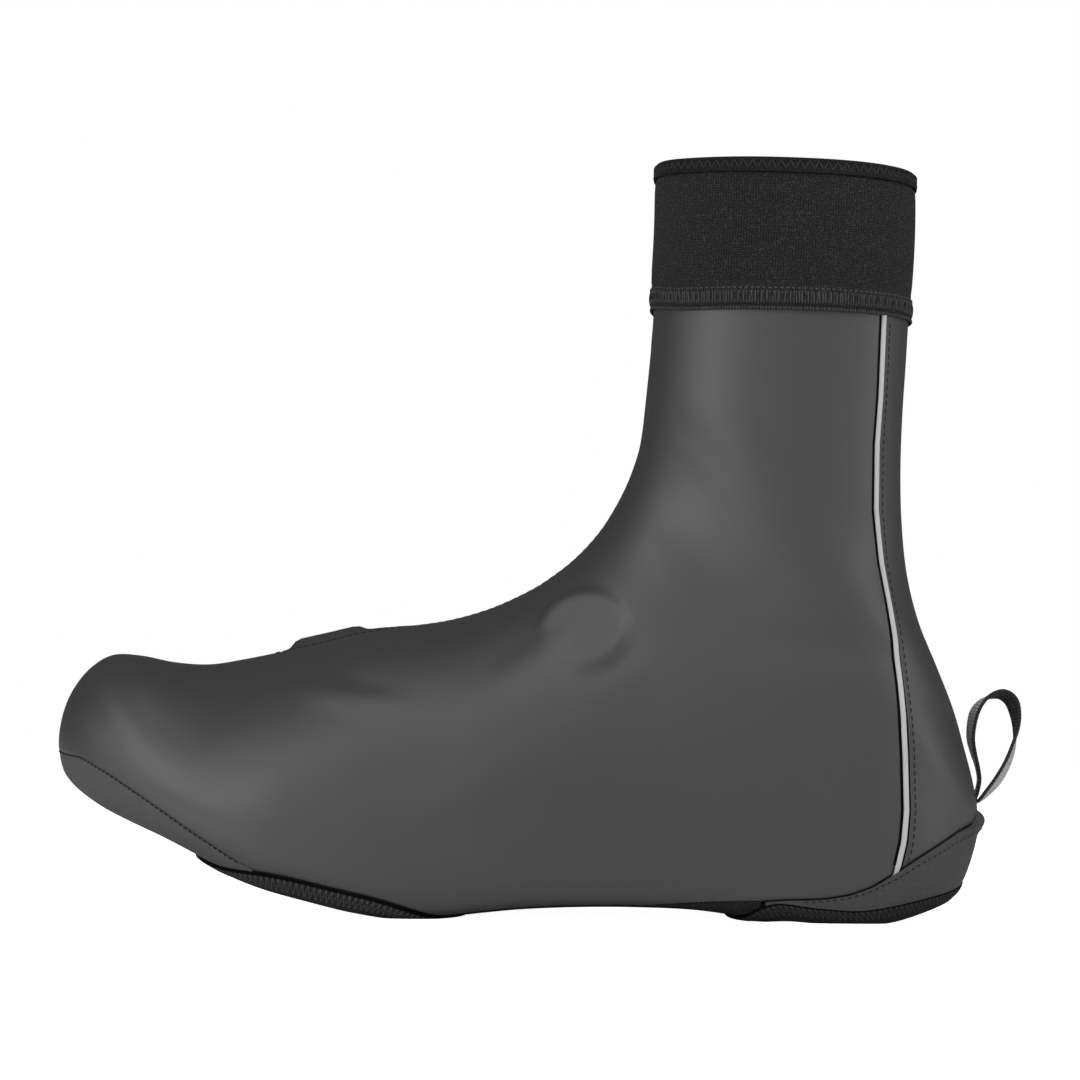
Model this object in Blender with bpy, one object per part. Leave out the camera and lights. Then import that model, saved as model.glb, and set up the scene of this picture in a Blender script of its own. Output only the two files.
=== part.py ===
"""Cycling overshoe for a left foot, in the form it takes when worn.

The outer surface is a loft through the sections of SECTIONS. The upper, the guards and the sole panel
are cut from that surface along their seams, and the tapes, the cuff and the piping follow it.
Lengths are in millimetres, x from the toe tip and z from the floor, until the meshes are written.
The lateral side is at -Y.
"""

import math
from typing import NamedTuple

import bmesh
import bpy
import numpy as np


class Section(NamedTuple):
    """One section of the loft: its ends in side view, its half widths, and how square it is."""

    top_x: float
    top_z: float
    low_x: float
    low_z: float
    lateral: float
    medial: float
    middle: float
    widest: float
    low_square: float
    top_square: float


class SeamPoint(NamedTuple):
    """A point of a seam in side view."""

    x: float
    z: float


class LoopPoint(NamedTuple):
    """A point of the pull loop in side view, and the turn of its tape there in degrees."""

    x: float
    z: float
    turn: float


class TapePoint(NamedTuple):
    """A corner of a tape's profile: its share of the way from rim to seam, and its height."""

    share: float
    height: float


class BandPoint(NamedTuple):
    """A corner of a band around the ankle: its section, a height above it, and its offset."""

    section: float
    rise: float
    offset: float


class PipingPoint(NamedTuple):
    """A corner of the piping's profile, as shares of its half width and its height."""

    width: float
    height: float


class Finish(NamedTuple):
    """A plain material: its linear colour and its roughness."""

    name: str
    red: float
    green: float
    blue: float
    roughness: float


METRES_PER_MM = 0.001

# Clearance between neighbours, and the wider one along the curved seams underneath.
GAP = 0.3
SEAM_GAP = 0.6
SOLE_FRONT_GAP = 0.9
HEEL_GUARD_GAP = 1.0

# Place of the toe tip and of the foot's middle line in the finished part.
TOE_TIP_X = -150.4
MIDDLE_Y = 1.0

# Walls.
UPPER_WALL = 1.8
GUARD_WALL = 1.8
GUARD_PROUD = 0.6
SOLE_WALL = 1.5
CUFF_WALL = 2.2

# The loft starts at one point of the toe, above the toe seam.
TOE_POINT_Z = 52.0
SECTIONS = (
    Section(0.5, 56.2, 0.5, 46.8, 6.5, 6.5, 6.0, 0.50, 2.2, 2.00),
    Section(2.0, 62.4, 2.0, 41.6, 13.0, 12.5, 5.8, 0.47, 2.3, 2.00),
    Section(4.8, 68.3, 4.8, 38.0, 20.0, 18.5, 5.6, 0.43, 2.5, 2.05),
    Section(9.5, 74.2, 9.5, 34.3, 28.0, 25.5, 5.2, 0.39, 2.8, 2.10),
    Section(16.5, 78.4, 16.5, 30.2, 35.5, 32.0, 4.8, 0.36, 3.2, 2.15),
    Section(25.5, 78.3, 25.5, 26.3, 41.5, 37.0, 4.2, 0.34, 3.7, 2.15),
    Section(36.0, 76.4, 36.0, 22.1, 46.3, 41.3, 3.6, 0.33, 4.3, 2.10),
    Section(47.0, 75.9, 47.0, 17.1, 49.6, 44.8, 3.0, 0.32, 5.0, 2.00),
    Section(58.0, 77.7, 58.0, 11.7, 51.8, 47.6, 2.4, 0.31, 5.6, 1.95),
    Section(70.0, 80.3, 70.0, 7.0, 53.3, 49.6, 1.9, 0.31, 6.2, 1.90),
    Section(83.0, 83.4, 83.0, 3.6, 54.3, 50.3, 1.4, 0.31, 6.8, 1.90),
    Section(96.0, 86.6, 96.0, 0.7, 54.6, 49.6, 0.9, 0.31, 7.0, 1.90),
    Section(109.0, 88.7, 109.0, -0.6, 54.0, 47.9, 0.5, 0.31, 7.0, 1.90),
    Section(122.0, 90.8, 122.0, -0.1, 52.6, 45.6, 0.1, 0.32, 7.0, 1.95),
    Section(135.0, 94.7, 135.0, 1.4, 50.6, 43.4, -0.2, 0.33, 7.0, 2.00),
    Section(147.0, 100.4, 147.0, 2.6, 48.6, 41.8, -0.3, 0.33, 7.0, 2.00),
    Section(153.5, 104.6, 164.0, 3.4, 46.6, 40.4, -0.3, 0.33, 7.0, 2.05),
    Section(159.5, 109.3, 182.0, 3.5, 44.6, 39.4, -0.3, 0.33, 7.0, 2.10),
    Section(165.0, 114.8, 200.0, 2.8, 42.8, 38.6, -0.2, 0.33, 7.2, 2.15),
    Section(169.5, 120.5, 218.0, 0.4, 41.2, 38.0, -0.1, 0.33, 7.4, 2.20),
    Section(173.0, 126.2, 234.5, -1.6, 40.0, 37.6, 0.0, 0.33, 7.0, 2.25),
    Section(175.7, 131.4, 249.5, -2.8, 39.0, 37.2, 0.0, 0.34, 6.2, 2.30),
    Section(177.6, 135.8, 262.5, -2.0, 38.2, 36.8, 0.0, 0.35, 4.8, 2.30),
    Section(179.0, 139.7, 273.0, 2.5, 37.6, 36.5, 0.0, 0.36, 3.5, 2.30),
    Section(180.1, 143.2, 281.0, 9.8, 37.1, 36.2, 0.0, 0.38, 2.75, 2.30),
    Section(180.9, 146.4, 285.5, 19.6, 36.7, 36.0, 0.0, 0.40, 2.5, 2.30),
    Section(181.4, 149.5, 287.8, 31.3, 36.3, 35.8, 0.0, 0.42, 2.35, 2.30),
    Section(181.8, 152.6, 286.4, 42.0, 36.0, 35.6, 0.0, 0.44, 2.3, 2.30),
    Section(182.1, 155.8, 283.5, 53.0, 35.7, 35.4, 0.0, 0.46, 2.3, 2.30),
    Section(182.4, 159.0, 280.0, 65.0, 35.4, 35.2, 0.0, 0.47, 2.3, 2.30),
    Section(182.7, 162.2, 274.8, 78.0, 35.1, 35.0, 0.0, 0.48, 2.3, 2.30),
    Section(183.0, 165.5, 268.9, 92.0, 34.8, 34.7, 0.0, 0.49, 2.3, 2.30),
    Section(183.3, 168.8, 265.0, 107.0, 34.5, 34.4, 0.0, 0.50, 2.3, 2.30),
    Section(183.6, 172.3, 263.1, 123.5, 34.2, 34.1, 0.0, 0.50, 2.3, 2.30),
    Section(183.9, 176.0, 262.6, 140.0, 34.0, 33.9, 0.0, 0.50, 2.3, 2.30),
    Section(184.1, 179.8, 263.0, 157.0, 33.9, 33.8, 0.0, 0.50, 2.3, 2.30),
    Section(184.4, 183.8, 263.9, 173.0, 33.9, 33.8, 0.0, 0.50, 2.3, 2.30),
    Section(184.6, 188.0, 264.6, 187.3, 34.0, 33.9, 0.0, 0.50, 2.3, 2.30),
    Section(184.7, 197.0, 265.2, 196.4, 34.2, 34.1, 0.0, 0.50, 2.3, 2.30),
    Section(184.9, 214.0, 265.9, 213.2, 34.6, 34.5, 0.0, 0.50, 2.3, 2.30),
    Section(185.2, 234.0, 266.2, 232.4, 34.8, 34.7, 0.0, 0.50, 2.3, 2.30),
)

# Numbers of the sections that pieces start or end at.
SECTION_TOE_GUARD = 9.0
SECTION_CLEAT = 12.0
SECTION_HEEL = 22.0
SECTION_HEEL_BACK = 27.0
SECTION_HEM = 38.0
SECTION_COLLAR = 39.0
SECTION_CUFF_TOP = 41.0

# Sections of the upper between two rows of its mesh, from the toe to the collar.
TOE_STEP = 0.75
TOE_STEP_COUNT = 6
FOOT_STEP = 0.7
SHAFT_STEP = 1.0
HEEL_STEPS = (0.7, 0.3, 0.07)

# The toe seam runs level around the tip, then slants back to the front opening.
TOE_SEAM = (
    SeamPoint(0.0, 48.0),
    SeamPoint(4.2, 46.8),
    SeamPoint(9.6, 46.2),
    SeamPoint(13.2, 44.6),
    SeamPoint(20.9, 40.6),
    SeamPoint(30.6, 34.8),
    SeamPoint(46.9, 24.4),
    SeamPoint(60.3, 16.3),
    SeamPoint(70.0, 11.6),
    SeamPoint(84.0, 5.0),
)

# The edge of the upper comes out from under the arch and climbs over the heel guard.
HEEL_SEAM = (
    SeamPoint(176.0, 4.0),
    SeamPoint(188.2, 4.9),
    SeamPoint(203.6, 5.9),
    SeamPoint(212.0, 6.2),
    SeamPoint(219.0, 6.4),
    SeamPoint(226.0, 6.9),
    SeamPoint(237.5, 7.3),
    SeamPoint(245.4, 8.7),
    SeamPoint(251.8, 11.0),
    SeamPoint(258.5, 15.0),
    SeamPoint(267.1, 20.4),
    SeamPoint(279.8, 27.9),
    SeamPoint(288.0, 31.3),
)
HEEL_SEAM_START = 16.5
HEEL_TIP_X = 224.5

# Under the arch the seam keeps this share of the half width from the middle.
ARCH_SEAM_SHARE = 0.80
ARCH_FIRST_X = 100.0
ARCH_LAST_X = 205.0

# The openings underneath, as rounded outlines of the tape's outer edge and of its rim.
CLEAT_MIDDLE_X = 86.0
CLEAT_HALF_LENGTH = 44.0
CLEAT_HALF_SHARE = 1.03
CLEAT_SQUARE = 3.0
CLEAT_TAPER = 0.0
HEEL_FRONT_X = 209.0
HEEL_REAR_Z = 13.4
HEEL_HALF_SHARE = 0.91
HEEL_SQUARE = 4.2
HEEL_TAPER = 0.18
SOLE_REAR_X = 214.0
TAPE_LENGTHWISE = 9.0
TAPE_SHARE = 0.20
TAPE_PROFILE = (
    TapePoint(1.0, -1.7),
    TapePoint(1.0, 0.3),
    TapePoint(0.85, 0.8),
    TapePoint(0.15, 0.8),
    TapePoint(0.0, -0.2),
    TapePoint(0.0, -1.3),
    TapePoint(0.2, -1.9),
)

# The cuff laps over the collar at its hem.
CUFF_PROFILE = (
    BandPoint(SECTION_HEM, 0.0, 0.35),
    BandPoint(SECTION_HEM, 0.0, 1.0),
    BandPoint(SECTION_HEM, 1.6, 1.5),
    BandPoint(SECTION_HEM, 6.0, 1.4),
    BandPoint(SECTION_COLLAR, 1.2, 0.5),
    BandPoint(SECTION_CUFF_TOP, -5.2, 0.2),
    BandPoint(SECTION_CUFF_TOP, -4.4, -0.4),
    BandPoint(SECTION_CUFF_TOP, -1.2, -0.4),
    BandPoint(SECTION_CUFF_TOP, -1.2, 0.3 - CUFF_WALL),
    BandPoint(SECTION_COLLAR, 0.4, 0.3 - CUFF_WALL),
    BandPoint(SECTION_COLLAR, 0.4, 0.35),
)
CUFF_BINDING_PROFILE = (
    BandPoint(SECTION_CUFF_TOP, -4.6, 0.7),
    BandPoint(SECTION_CUFF_TOP, -3.6, 1.0),
    BandPoint(SECTION_CUFF_TOP, -0.8, 0.9),
    BandPoint(SECTION_CUFF_TOP, 0.0, 0.2),
    BandPoint(SECTION_CUFF_TOP, 0.0, -2.4),
    BandPoint(SECTION_CUFF_TOP, -0.8, -3.0),
    BandPoint(SECTION_CUFF_TOP, -4.0, -3.0),
    BandPoint(SECTION_CUFF_TOP, -4.0, 0.0 - CUFF_WALL),
    BandPoint(SECTION_CUFF_TOP, -0.9, 0.0 - CUFF_WALL),
    BandPoint(SECTION_CUFF_TOP, -0.9, -0.1),
    BandPoint(SECTION_CUFF_TOP, -4.2, -0.1),
)

# The piping runs down the ankle in front of the rear panel.
PIPING_WIDTH = 2.6
PIPING_HEIGHT = 1.4
PIPING_PROFILE = (
    PipingPoint(-1.0, 0.04),
    PipingPoint(-0.67, 0.75),
    PipingPoint(0.0, 1.0),
    PipingPoint(0.67, 0.75),
    PipingPoint(1.0, 0.04),
)
PIPING_FIRST_SECTION = 23.75
PIPING_LAST_SECTION = 37.9
PIPING_LINE = (
    SeamPoint(257.0, 5.0),
    SeamPoint(259.8, 16.2),
    SeamPoint(261.8, 25.0),
    SeamPoint(262.5, 34.0),
    SeamPoint(262.0, 51.0),
    SeamPoint(261.3, 63.0),
    SeamPoint(259.0, 86.0),
    SeamPoint(257.2, 97.0),
    SeamPoint(254.8, 110.0),
    SeamPoint(253.1, 126.0),
    SeamPoint(253.2, 146.0),
    SeamPoint(254.2, 161.0),
    SeamPoint(255.0, 188.0),
)

# The pull loop, from its base up the side next to the heel and back.
LOOP_WIDTH = 9.0
LOOP_THICKNESS = 1.1
LOOP_LINE = (
    LoopPoint(289.4, 35.4, 0.0),
    LoopPoint(288.5, 40.6, 4.0),
    LoopPoint(287.8, 47.4, 7.0),
    LoopPoint(286.7, 52.4, 7.0),
    LoopPoint(286.3, 57.2, 5.0),
    LoopPoint(286.7, 62.4, 0.0),
    LoopPoint(288.2, 66.2, -8.0),
    LoopPoint(290.9, 68.6, -14.0),
    LoopPoint(294.2, 69.8, -18.0),
    LoopPoint(297.2, 69.3, -18.0),
    LoopPoint(299.0, 66.4, -14.0),
    LoopPoint(299.6, 62.0, -8.0),
    LoopPoint(299.3, 57.0, -2.0),
    LoopPoint(298.4, 52.0, 5.0),
    LoopPoint(296.5, 46.4, 8.0),
    LoopPoint(293.6, 41.6, 6.0),
    LoopPoint(291.2, 37.6, 3.0),
)
LOOP_STEPS = 2

# The shoe inside shows as a round closure on the lateral ankle and a strap end on the medial instep.
DISC_X = 163.5
DISC_Z = 87.8
DISC_RADIUS = 14.0
DISC_EDGE = 4.0
DISC_RISE = 1.8
STRAP_FRONT_X = 71.0
STRAP_REAR_X = 116.0
STRAP_FIRST_Y = 0.0
STRAP_LAST_Y = 25.0
STRAP_RAMP = 4.5
STRAP_REAR_RAMP = 20.0
STRAP_RISE = 3.6

# The guards run out before their tips, with their rows closer at the front and back of the shoe.
GUARD_END = 0.97
TOE_GUARD_CROWDING = 1.7
TOE_GUARD_START = 0.1
TOE_MEET_FIRST = 6.0
TOE_MEET_LAST = 11.0
HEEL_GUARD_CROWDING = 1.8
HEEL_GUARD_START = 0.05
HEEL_ROW_CROWDING = 1.5

# Lip of the heel guard at the back.
LIP_RISE = 1.7
LIP_HEIGHT = 3.0
LIP_SHARE = 0.25
LIP_REACH = 0.40

# Mesh counts.
UPPER_COLUMNS = 28
BAND_COLUMNS = 32
TAPE_STEPS = 44
GUARD_STEPS = 22
GUARD_ROWS = 4
SOLE_COLUMNS = 14
SOLE_ROWS = 11
SOLE_FITTING_ROUNDS = 12
CURVE_POINTS = 65
STATION_SAMPLES = 541
SEARCH_SAMPLES = 401
APEX_SAMPLES = 201
APEX_LAST_STATION = 2.0
NORMAL_STATION_STEP = 0.03
NORMAL_AROUND_STEP = 0.012
JOIN_DISTANCE = 1e-6
SHARP_ANGLE_DEG = 40

LATERAL = 1
MEDIAL = -1

COATED_FABRIC = Finish("coated_fabric", 0.060, 0.061, 0.063, 0.42)
GUARD_FABRIC = Finish("guard_fabric", 0.055, 0.056, 0.058, 0.60)
ELASTIC_FABRIC = Finish("elastic_fabric", 0.020, 0.020, 0.022, 0.85)
CUFF_KNIT = Finish("cuff_knit", 0.022, 0.022, 0.024, 0.90)
BINDING_TAPE = Finish("binding_tape", 0.024, 0.024, 0.026, 0.80)
REFLECTIVE_CORD = Finish("reflective_cord", 0.400, 0.405, 0.410, 0.40)
LOOP_WEBBING = Finish("loop_webbing", 0.080, 0.080, 0.084, 0.70)


def blend(before, first, second, after, share):
    """Value between first and second on a curve through all four."""
    slope_first = (second - before) / 2
    slope_second = (after - first) / 2
    square = share * share
    cube = square * share
    return (
        first * (2 * cube - 3 * square + 1)
        + slope_first * (cube - 2 * square + share)
        + second * (3 * square - 2 * cube)
        + slope_second * (cube - square)
    )


def loft_rows():
    """The section table as rows of numbers, with the toe point and one row beyond each end."""
    rows = [list(section) for section in SECTIONS]
    first = SECTIONS[0]
    point = list(
        first._replace(
            top_x=0.0,
            top_z=TOE_POINT_Z,
            low_x=0.0,
            low_z=TOE_POINT_Z,
            lateral=0.0,
            medial=0.0,
        )
    )
    beyond = list(
        first._replace(
            top_x=first.low_x,
            top_z=first.low_z,
            low_x=first.top_x,
            low_z=first.top_z,
            lateral=-first.lateral,
            medial=-first.medial,
        )
    )
    last = np.array(rows[-1])
    above = list(2 * last - np.array(rows[-2]))
    return np.array([beyond, point, *rows, above])


LOFT_ROWS = loft_rows()


def section_at(station):
    """The section at a station, whole numbers being the rows of the table and 0 the toe point."""
    index = min(max(int(math.floor(station)), 0), len(LOFT_ROWS) - 4)
    return Section(*blend(*LOFT_ROWS[index : index + 4], station - index))


def half_curve(section, side):
    """One side of a section from its low point to its top: points and the girth up to each."""
    width = section.lateral if side == LATERAL else section.medial
    turn = np.linspace(0.0, math.pi / 2, CURVE_POINTS)
    sine = np.clip(np.sin(turn), 0.0, 1.0)
    cosine = np.clip(np.cos(turn), 0.0, 1.0)
    low_power = 2 / section.low_square
    top_power = 2 / section.top_square
    across = np.concatenate([sine**low_power, cosine[1:] ** top_power]) * width
    low_part = section.widest * (1 - cosine**low_power)
    top_part = section.widest + (1 - section.widest) * sine[1:] ** top_power
    up = np.concatenate([low_part, top_part])
    points = np.stack(
        [
            section.low_x + (section.top_x - section.low_x) * up,
            section.middle - side * across,
            section.low_z + (section.top_z - section.low_z) * up,
        ],
        axis=1,
    )
    steps = np.linalg.norm(np.diff(points, axis=0), axis=1)
    return points, np.concatenate([[0.0], np.cumsum(steps)])


def surface_point(station, around):
    """A point of the loft: around is 0 at the top, 1 at the bottom by the lateral side, -1 by the other."""
    if around > 1:
        around -= 2
    if around < -1:
        around += 2
    side = LATERAL if around >= 0 else MEDIAL
    points, girth = half_curve(section_at(station), side)
    place = (1 - abs(around)) * girth[-1]
    return np.array([np.interp(place, girth, points[:, axis]) for axis in range(3)])


def surface_normal(station, around):
    """The outward direction of the loft at a point."""
    if station < NORMAL_STATION_STEP:
        return np.array([-1.0, 0.0, 0.0])
    behind = surface_point(station + NORMAL_STATION_STEP, around)
    ahead = surface_point(station - NORMAL_STATION_STEP, around)
    lower = surface_point(station, around + NORMAL_AROUND_STEP)
    upper = surface_point(station, around - NORMAL_AROUND_STEP)
    normal = np.cross(lower - upper, behind - ahead)
    return normal / np.linalg.norm(normal)


def around_of_share(station, share):
    """The place around a section of a share of its half width, counted from the bottom along the girth."""
    side = LATERAL if share >= 0 else MEDIAL
    section = section_at(station)
    width = section.lateral if side == LATERAL else section.medial
    girth = half_curve(section, side)[1][-1]
    return side * (1 - abs(share) * width / girth)


def share_below(station, side, seam):
    """How far up a section a seam crosses it, as a share of the half width along the girth."""
    section = section_at(station)
    width = section.lateral if side == LATERAL else section.medial
    points, girth = half_curve(section, side)
    heights = np.interp(points[:, 0], [point.x for point in seam], [point.z for point in seam])
    over = points[:, 2] - heights
    if over[0] >= 0:
        return 0.0
    index = int(np.argmax(over >= 0))
    part = over[index - 1] / (over[index - 1] - over[index])
    return (girth[index - 1] + part * (girth[index] - girth[index - 1])) / width


STATIONS = np.linspace(0.0, SECTION_HEEL_BACK, STATION_SAMPLES)
LOW_LINE = np.array([[section_at(station).low_x, section_at(station).low_z] for station in STATIONS])
LOW_LENGTH = np.concatenate([[0.0], np.cumsum(np.linalg.norm(np.diff(LOW_LINE, axis=0), axis=1))])
FLOOR_PART = LOW_LINE[:, 0] < LOW_LINE[:, 0].max() - 1


def station_of_x(x):
    """The station whose bottom is at a distance from the toe."""
    return float(np.interp(x, LOW_LINE[FLOOR_PART, 0], STATIONS[FLOOR_PART]))


def length_of_station(station):
    """Length of the bottom line from the toe point to a station."""
    return float(np.interp(station, STATIONS, LOW_LENGTH))


def station_of_length(length):
    """The station at a length along the bottom line."""
    return float(np.interp(length, LOW_LENGTH, STATIONS))


def heel_rear_length():
    """Length of the bottom line up to the rear edge of the heel opening's tape."""
    rear = STATIONS > station_of_x(HEEL_FRONT_X)
    return float(np.interp(HEEL_REAR_Z, LOW_LINE[rear, 1], LOW_LENGTH[rear]))


CLEAT_MIDDLE = length_of_station(station_of_x(CLEAT_MIDDLE_X))
HEEL_FRONT = length_of_station(station_of_x(HEEL_FRONT_X))
HEEL_MIDDLE = (HEEL_FRONT + heel_rear_length()) / 2
HEEL_HALF_LENGTH = heel_rear_length() - HEEL_MIDDLE


class Opening(NamedTuple):
    """A rounded outline underneath, in length along the bottom line and share of the half width."""

    middle: float
    half_length: float
    half_share: float
    square: float
    taper: float

    def at_turn(self, turn):
        """Length and share at an angle, 0 being the rear and a quarter turn the lateral side."""
        power = 2 / self.square
        reach = math.copysign(abs(math.cos(turn)) ** power, math.cos(turn))
        share = math.copysign(abs(math.sin(turn)) ** power, math.sin(turn))
        return self.middle + self.half_length * reach, self.half_share * share * (1 - self.taper * reach)

    def share_at(self, length):
        """Half width of the outline at a length, as a share, or 0 outside it."""
        reach = (length - self.middle) / self.half_length
        if abs(reach) >= 1:
            return 0.0
        rounding = (1 - abs(reach) ** self.square) ** (1 / self.square)
        return self.half_share * rounding * (1 - self.taper * reach)

    def length_at(self, share, end):
        """Length where the outline first has a share, seen from its front (-1) or rear (1) end."""
        lengths = self.middle + end * self.half_length * np.linspace(1.0, 0.0, SEARCH_SAMPLES)
        shares = np.array([self.share_at(length) for length in lengths])
        wide_enough = shares >= min(abs(share), shares.max())
        return float(lengths[int(np.argmax(wide_enough))])

    def grown(self, lengthwise, share):
        """The same outline made larger by a length and a share."""
        return self._replace(half_length=self.half_length + lengthwise, half_share=self.half_share + share)


CLEAT_OPENING = Opening(CLEAT_MIDDLE, CLEAT_HALF_LENGTH, CLEAT_HALF_SHARE, CLEAT_SQUARE, CLEAT_TAPER)
HEEL_OPENING = Opening(HEEL_MIDDLE, HEEL_HALF_LENGTH, HEEL_HALF_SHARE, HEEL_SQUARE, HEEL_TAPER)
CLEAT_HALF_WIDTH = section_at(SECTION_CLEAT).lateral
HEEL_HALF_WIDTH = section_at(SECTION_HEEL).lateral
TOE_GUARD_HALF_WIDTH = section_at(SECTION_TOE_GUARD).lateral
CLEAT_SEAM = CLEAT_OPENING.grown(SEAM_GAP, 1.5 * GAP / CLEAT_HALF_WIDTH)
HEEL_OPENING_SEAM = HEEL_OPENING.grown(SEAM_GAP, 1.5 * GAP / HEEL_HALF_WIDTH)


def heel_back_spacing():
    """Distance between the two sections at the back of the heel."""
    low = section_at(SECTION_HEEL_BACK)
    high = section_at(SECTION_HEEL_BACK + 1)
    return math.hypot(high.low_x - low.low_x, high.low_z - low.low_z)


def edge_share(station, side):
    """Where the upper ends on one side of a section, as a share of the half width from the bottom."""
    if station >= SECTION_HEEL_BACK:
        return 0.0
    section = section_at(station)
    shares = [CLEAT_SEAM.share_at(length_of_station(station))]
    if section.low_x < TOE_SEAM[-1].x:
        shares.append(share_below(station, side, TOE_SEAM))
    if ARCH_FIRST_X < section.low_x < ARCH_LAST_X:
        shares.append(ARCH_SEAM_SHARE)
    if station > HEEL_SEAM_START:
        shares.append(share_below(station, side, HEEL_SEAM))
        shares.append(HEEL_OPENING_SEAM.share_at(length_of_station(station)))
    return max(shares)


def smooth_step(value):
    """0 below 0, 1 above 1, and a soft rise between."""
    value = min(max(value, 0.0), 1.0)
    return value * value * (3 - 2 * value)


def lateral_point(x, z):
    """A point of the loft's lateral side in side view, from the foot's upright sections."""
    seam = (SeamPoint(0.0, z), SeamPoint(SECTIONS[-1].low_x, z))
    best = None
    for station in np.linspace(SECTION_HEEL_BACK / 3, SECTION_HEEL_BACK, SEARCH_SAMPLES):
        section = section_at(station)
        share = share_below(station, LATERAL, seam)
        point = surface_point(station, 1 - share * section.lateral / half_curve(section, LATERAL)[1][-1])
        if best is None or abs(point[0] - x) < abs(best[0] - x):
            best = point
    return best


DISC_CENTRE = lateral_point(DISC_X, DISC_Z)


def rise_of_shoe(point):
    """How far the shoe inside lifts the fabric at a point of the loft."""
    distance = np.linalg.norm(point - DISC_CENTRE)
    disc = DISC_RISE * smooth_step((DISC_RADIUS - distance) / DISC_EDGE)
    inside = min(
        (point[0] - STRAP_FRONT_X) / STRAP_RAMP,
        (STRAP_REAR_X - point[0]) / STRAP_REAR_RAMP,
        (point[1] - STRAP_FIRST_Y) / STRAP_RAMP,
        (STRAP_LAST_Y - point[1]) / STRAP_RAMP,
    )
    strap = STRAP_RISE * smooth_step(inside) if point[2] > DISC_Z / 2 else 0.0
    return disc + strap


def in_part(point):
    """A point moved from toe and floor to the part's own origin, in metres."""
    return (
        (point[0] + TOE_TIP_X) * METRES_PER_MM,
        (point[1] + MIDDLE_Y) * METRES_PER_MM,
        point[2] * METRES_PER_MM,
    )


def paint(finish):
    """A plain material."""
    material = bpy.data.materials.new(finish.name)
    material.use_nodes = True
    shader = material.node_tree.nodes["Principled BSDF"]
    shader.inputs["Base Color"].default_value = (finish.red, finish.green, finish.blue, 1.0)
    shader.inputs["Roughness"].default_value = finish.roughness
    return material


def add_piece(name, points, faces, material):
    """One closed piece from points and faces, its doubled points joined and its faces turned outwards."""
    mesh = bpy.data.meshes.new(name)
    shape = bmesh.new()
    corners = [shape.verts.new(in_part(point)) for point in points]
    for face in faces:
        shape.faces.new([corners[index] for index in face])
    bmesh.ops.remove_doubles(shape, verts=shape.verts, dist=JOIN_DISTANCE)
    bmesh.ops.dissolve_degenerate(shape, edges=shape.edges, dist=JOIN_DISTANCE)
    bmesh.ops.recalc_face_normals(shape, faces=shape.faces)
    shape.to_mesh(mesh)
    shape.free()
    mesh.materials.append(material)
    mesh.shade_smooth()
    mesh.set_sharp_from_angle(angle=math.radians(SHARP_ANGLE_DEG))
    piece = bpy.data.objects.new(name, mesh)
    bpy.context.scene.collection.objects.link(piece)
    return piece


def wall_faces(rows, columns, open_rows):
    """Faces of a wall with an outer and an inner grid; open_rows says where its side edges show."""
    outer = np.arange(rows * columns).reshape(rows, columns)
    inner = outer + rows * columns
    faces = []
    for row in range(rows - 1):
        for column in range(columns - 1):
            after = column + 1
            for grid in (outer, inner):
                faces.append((grid[row, column], grid[row, after], grid[row + 1, after], grid[row + 1, column]))
        if open_rows[row] or open_rows[row + 1]:
            for column in (0, columns - 1):
                faces.append(
                    (outer[row, column], outer[row + 1, column], inner[row + 1, column], inner[row, column])
                )
    return outer, inner, faces


def end_faces(outer, inner, row):
    """Faces that close a wall at one of its rows."""
    return [
        (outer[row, column], outer[row, column + 1], inner[row, column + 1], inner[row, column])
        for column in range(outer.shape[1] - 1)
    ]


def toe_apex():
    """Station where the toe seam starts, in front of the toe."""
    trial = np.linspace(0.0, APEX_LAST_STATION, APEX_SAMPLES)
    return max(station for station in trial if edge_share(station, LATERAL) == 0.0)


def upper_stations():
    """Stations of the upper's rows: the toe point, the start of the toe seam, then on to the collar."""
    apex = toe_apex()
    toe = 1.0 + TOE_STEP * np.arange(TOE_STEP_COUNT)
    foot_end = SECTION_HEEL_BACK - HEEL_STEPS[0]
    count = round((foot_end - toe[-1]) / FOOT_STEP)
    foot = np.linspace(toe[-1], foot_end, count + 1)[1:]
    heel = [SECTION_HEEL_BACK - step for step in HEEL_STEPS[1:]]
    shaft = np.arange(SECTION_HEEL_BACK, SECTION_COLLAR + SHAFT_STEP / 2, SHAFT_STEP)
    return np.concatenate([[0.0, apex / 2, apex], toe, foot, heel, shaft])


def build_upper(material):
    """The hollow upper, closed at the toe and open at the collar and underneath."""
    stations = upper_stations()
    columns = UPPER_COLUMNS + 1
    outer_points = []
    inner_points = []
    open_rows = []
    for station in stations:
        section = section_at(station)
        ends = []
        for side in (LATERAL, MEDIAL):
            share = edge_share(station, side)
            width = section.lateral if side == LATERAL else section.medial
            girth = half_curve(section, side)[1][-1]
            trimmed = share * width + GAP / 2 if share > 0 else 0.0
            ends.append(side * (1 - trimmed / max(girth, GAP)))
        open_rows.append(ends[0] < 1)
        for around in np.linspace(ends[0], ends[1], columns):
            point = surface_point(station, around)
            normal = surface_normal(station, around)
            point = point + normal * rise_of_shoe(point)
            outer_points.append(point)
            inner_points.append(point - normal * UPPER_WALL)
    outer, inner, faces = wall_faces(len(stations), columns, open_rows)
    faces += end_faces(outer, inner, len(stations) - 1)
    return add_piece("upper", outer_points + inner_points, faces, material)


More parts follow.
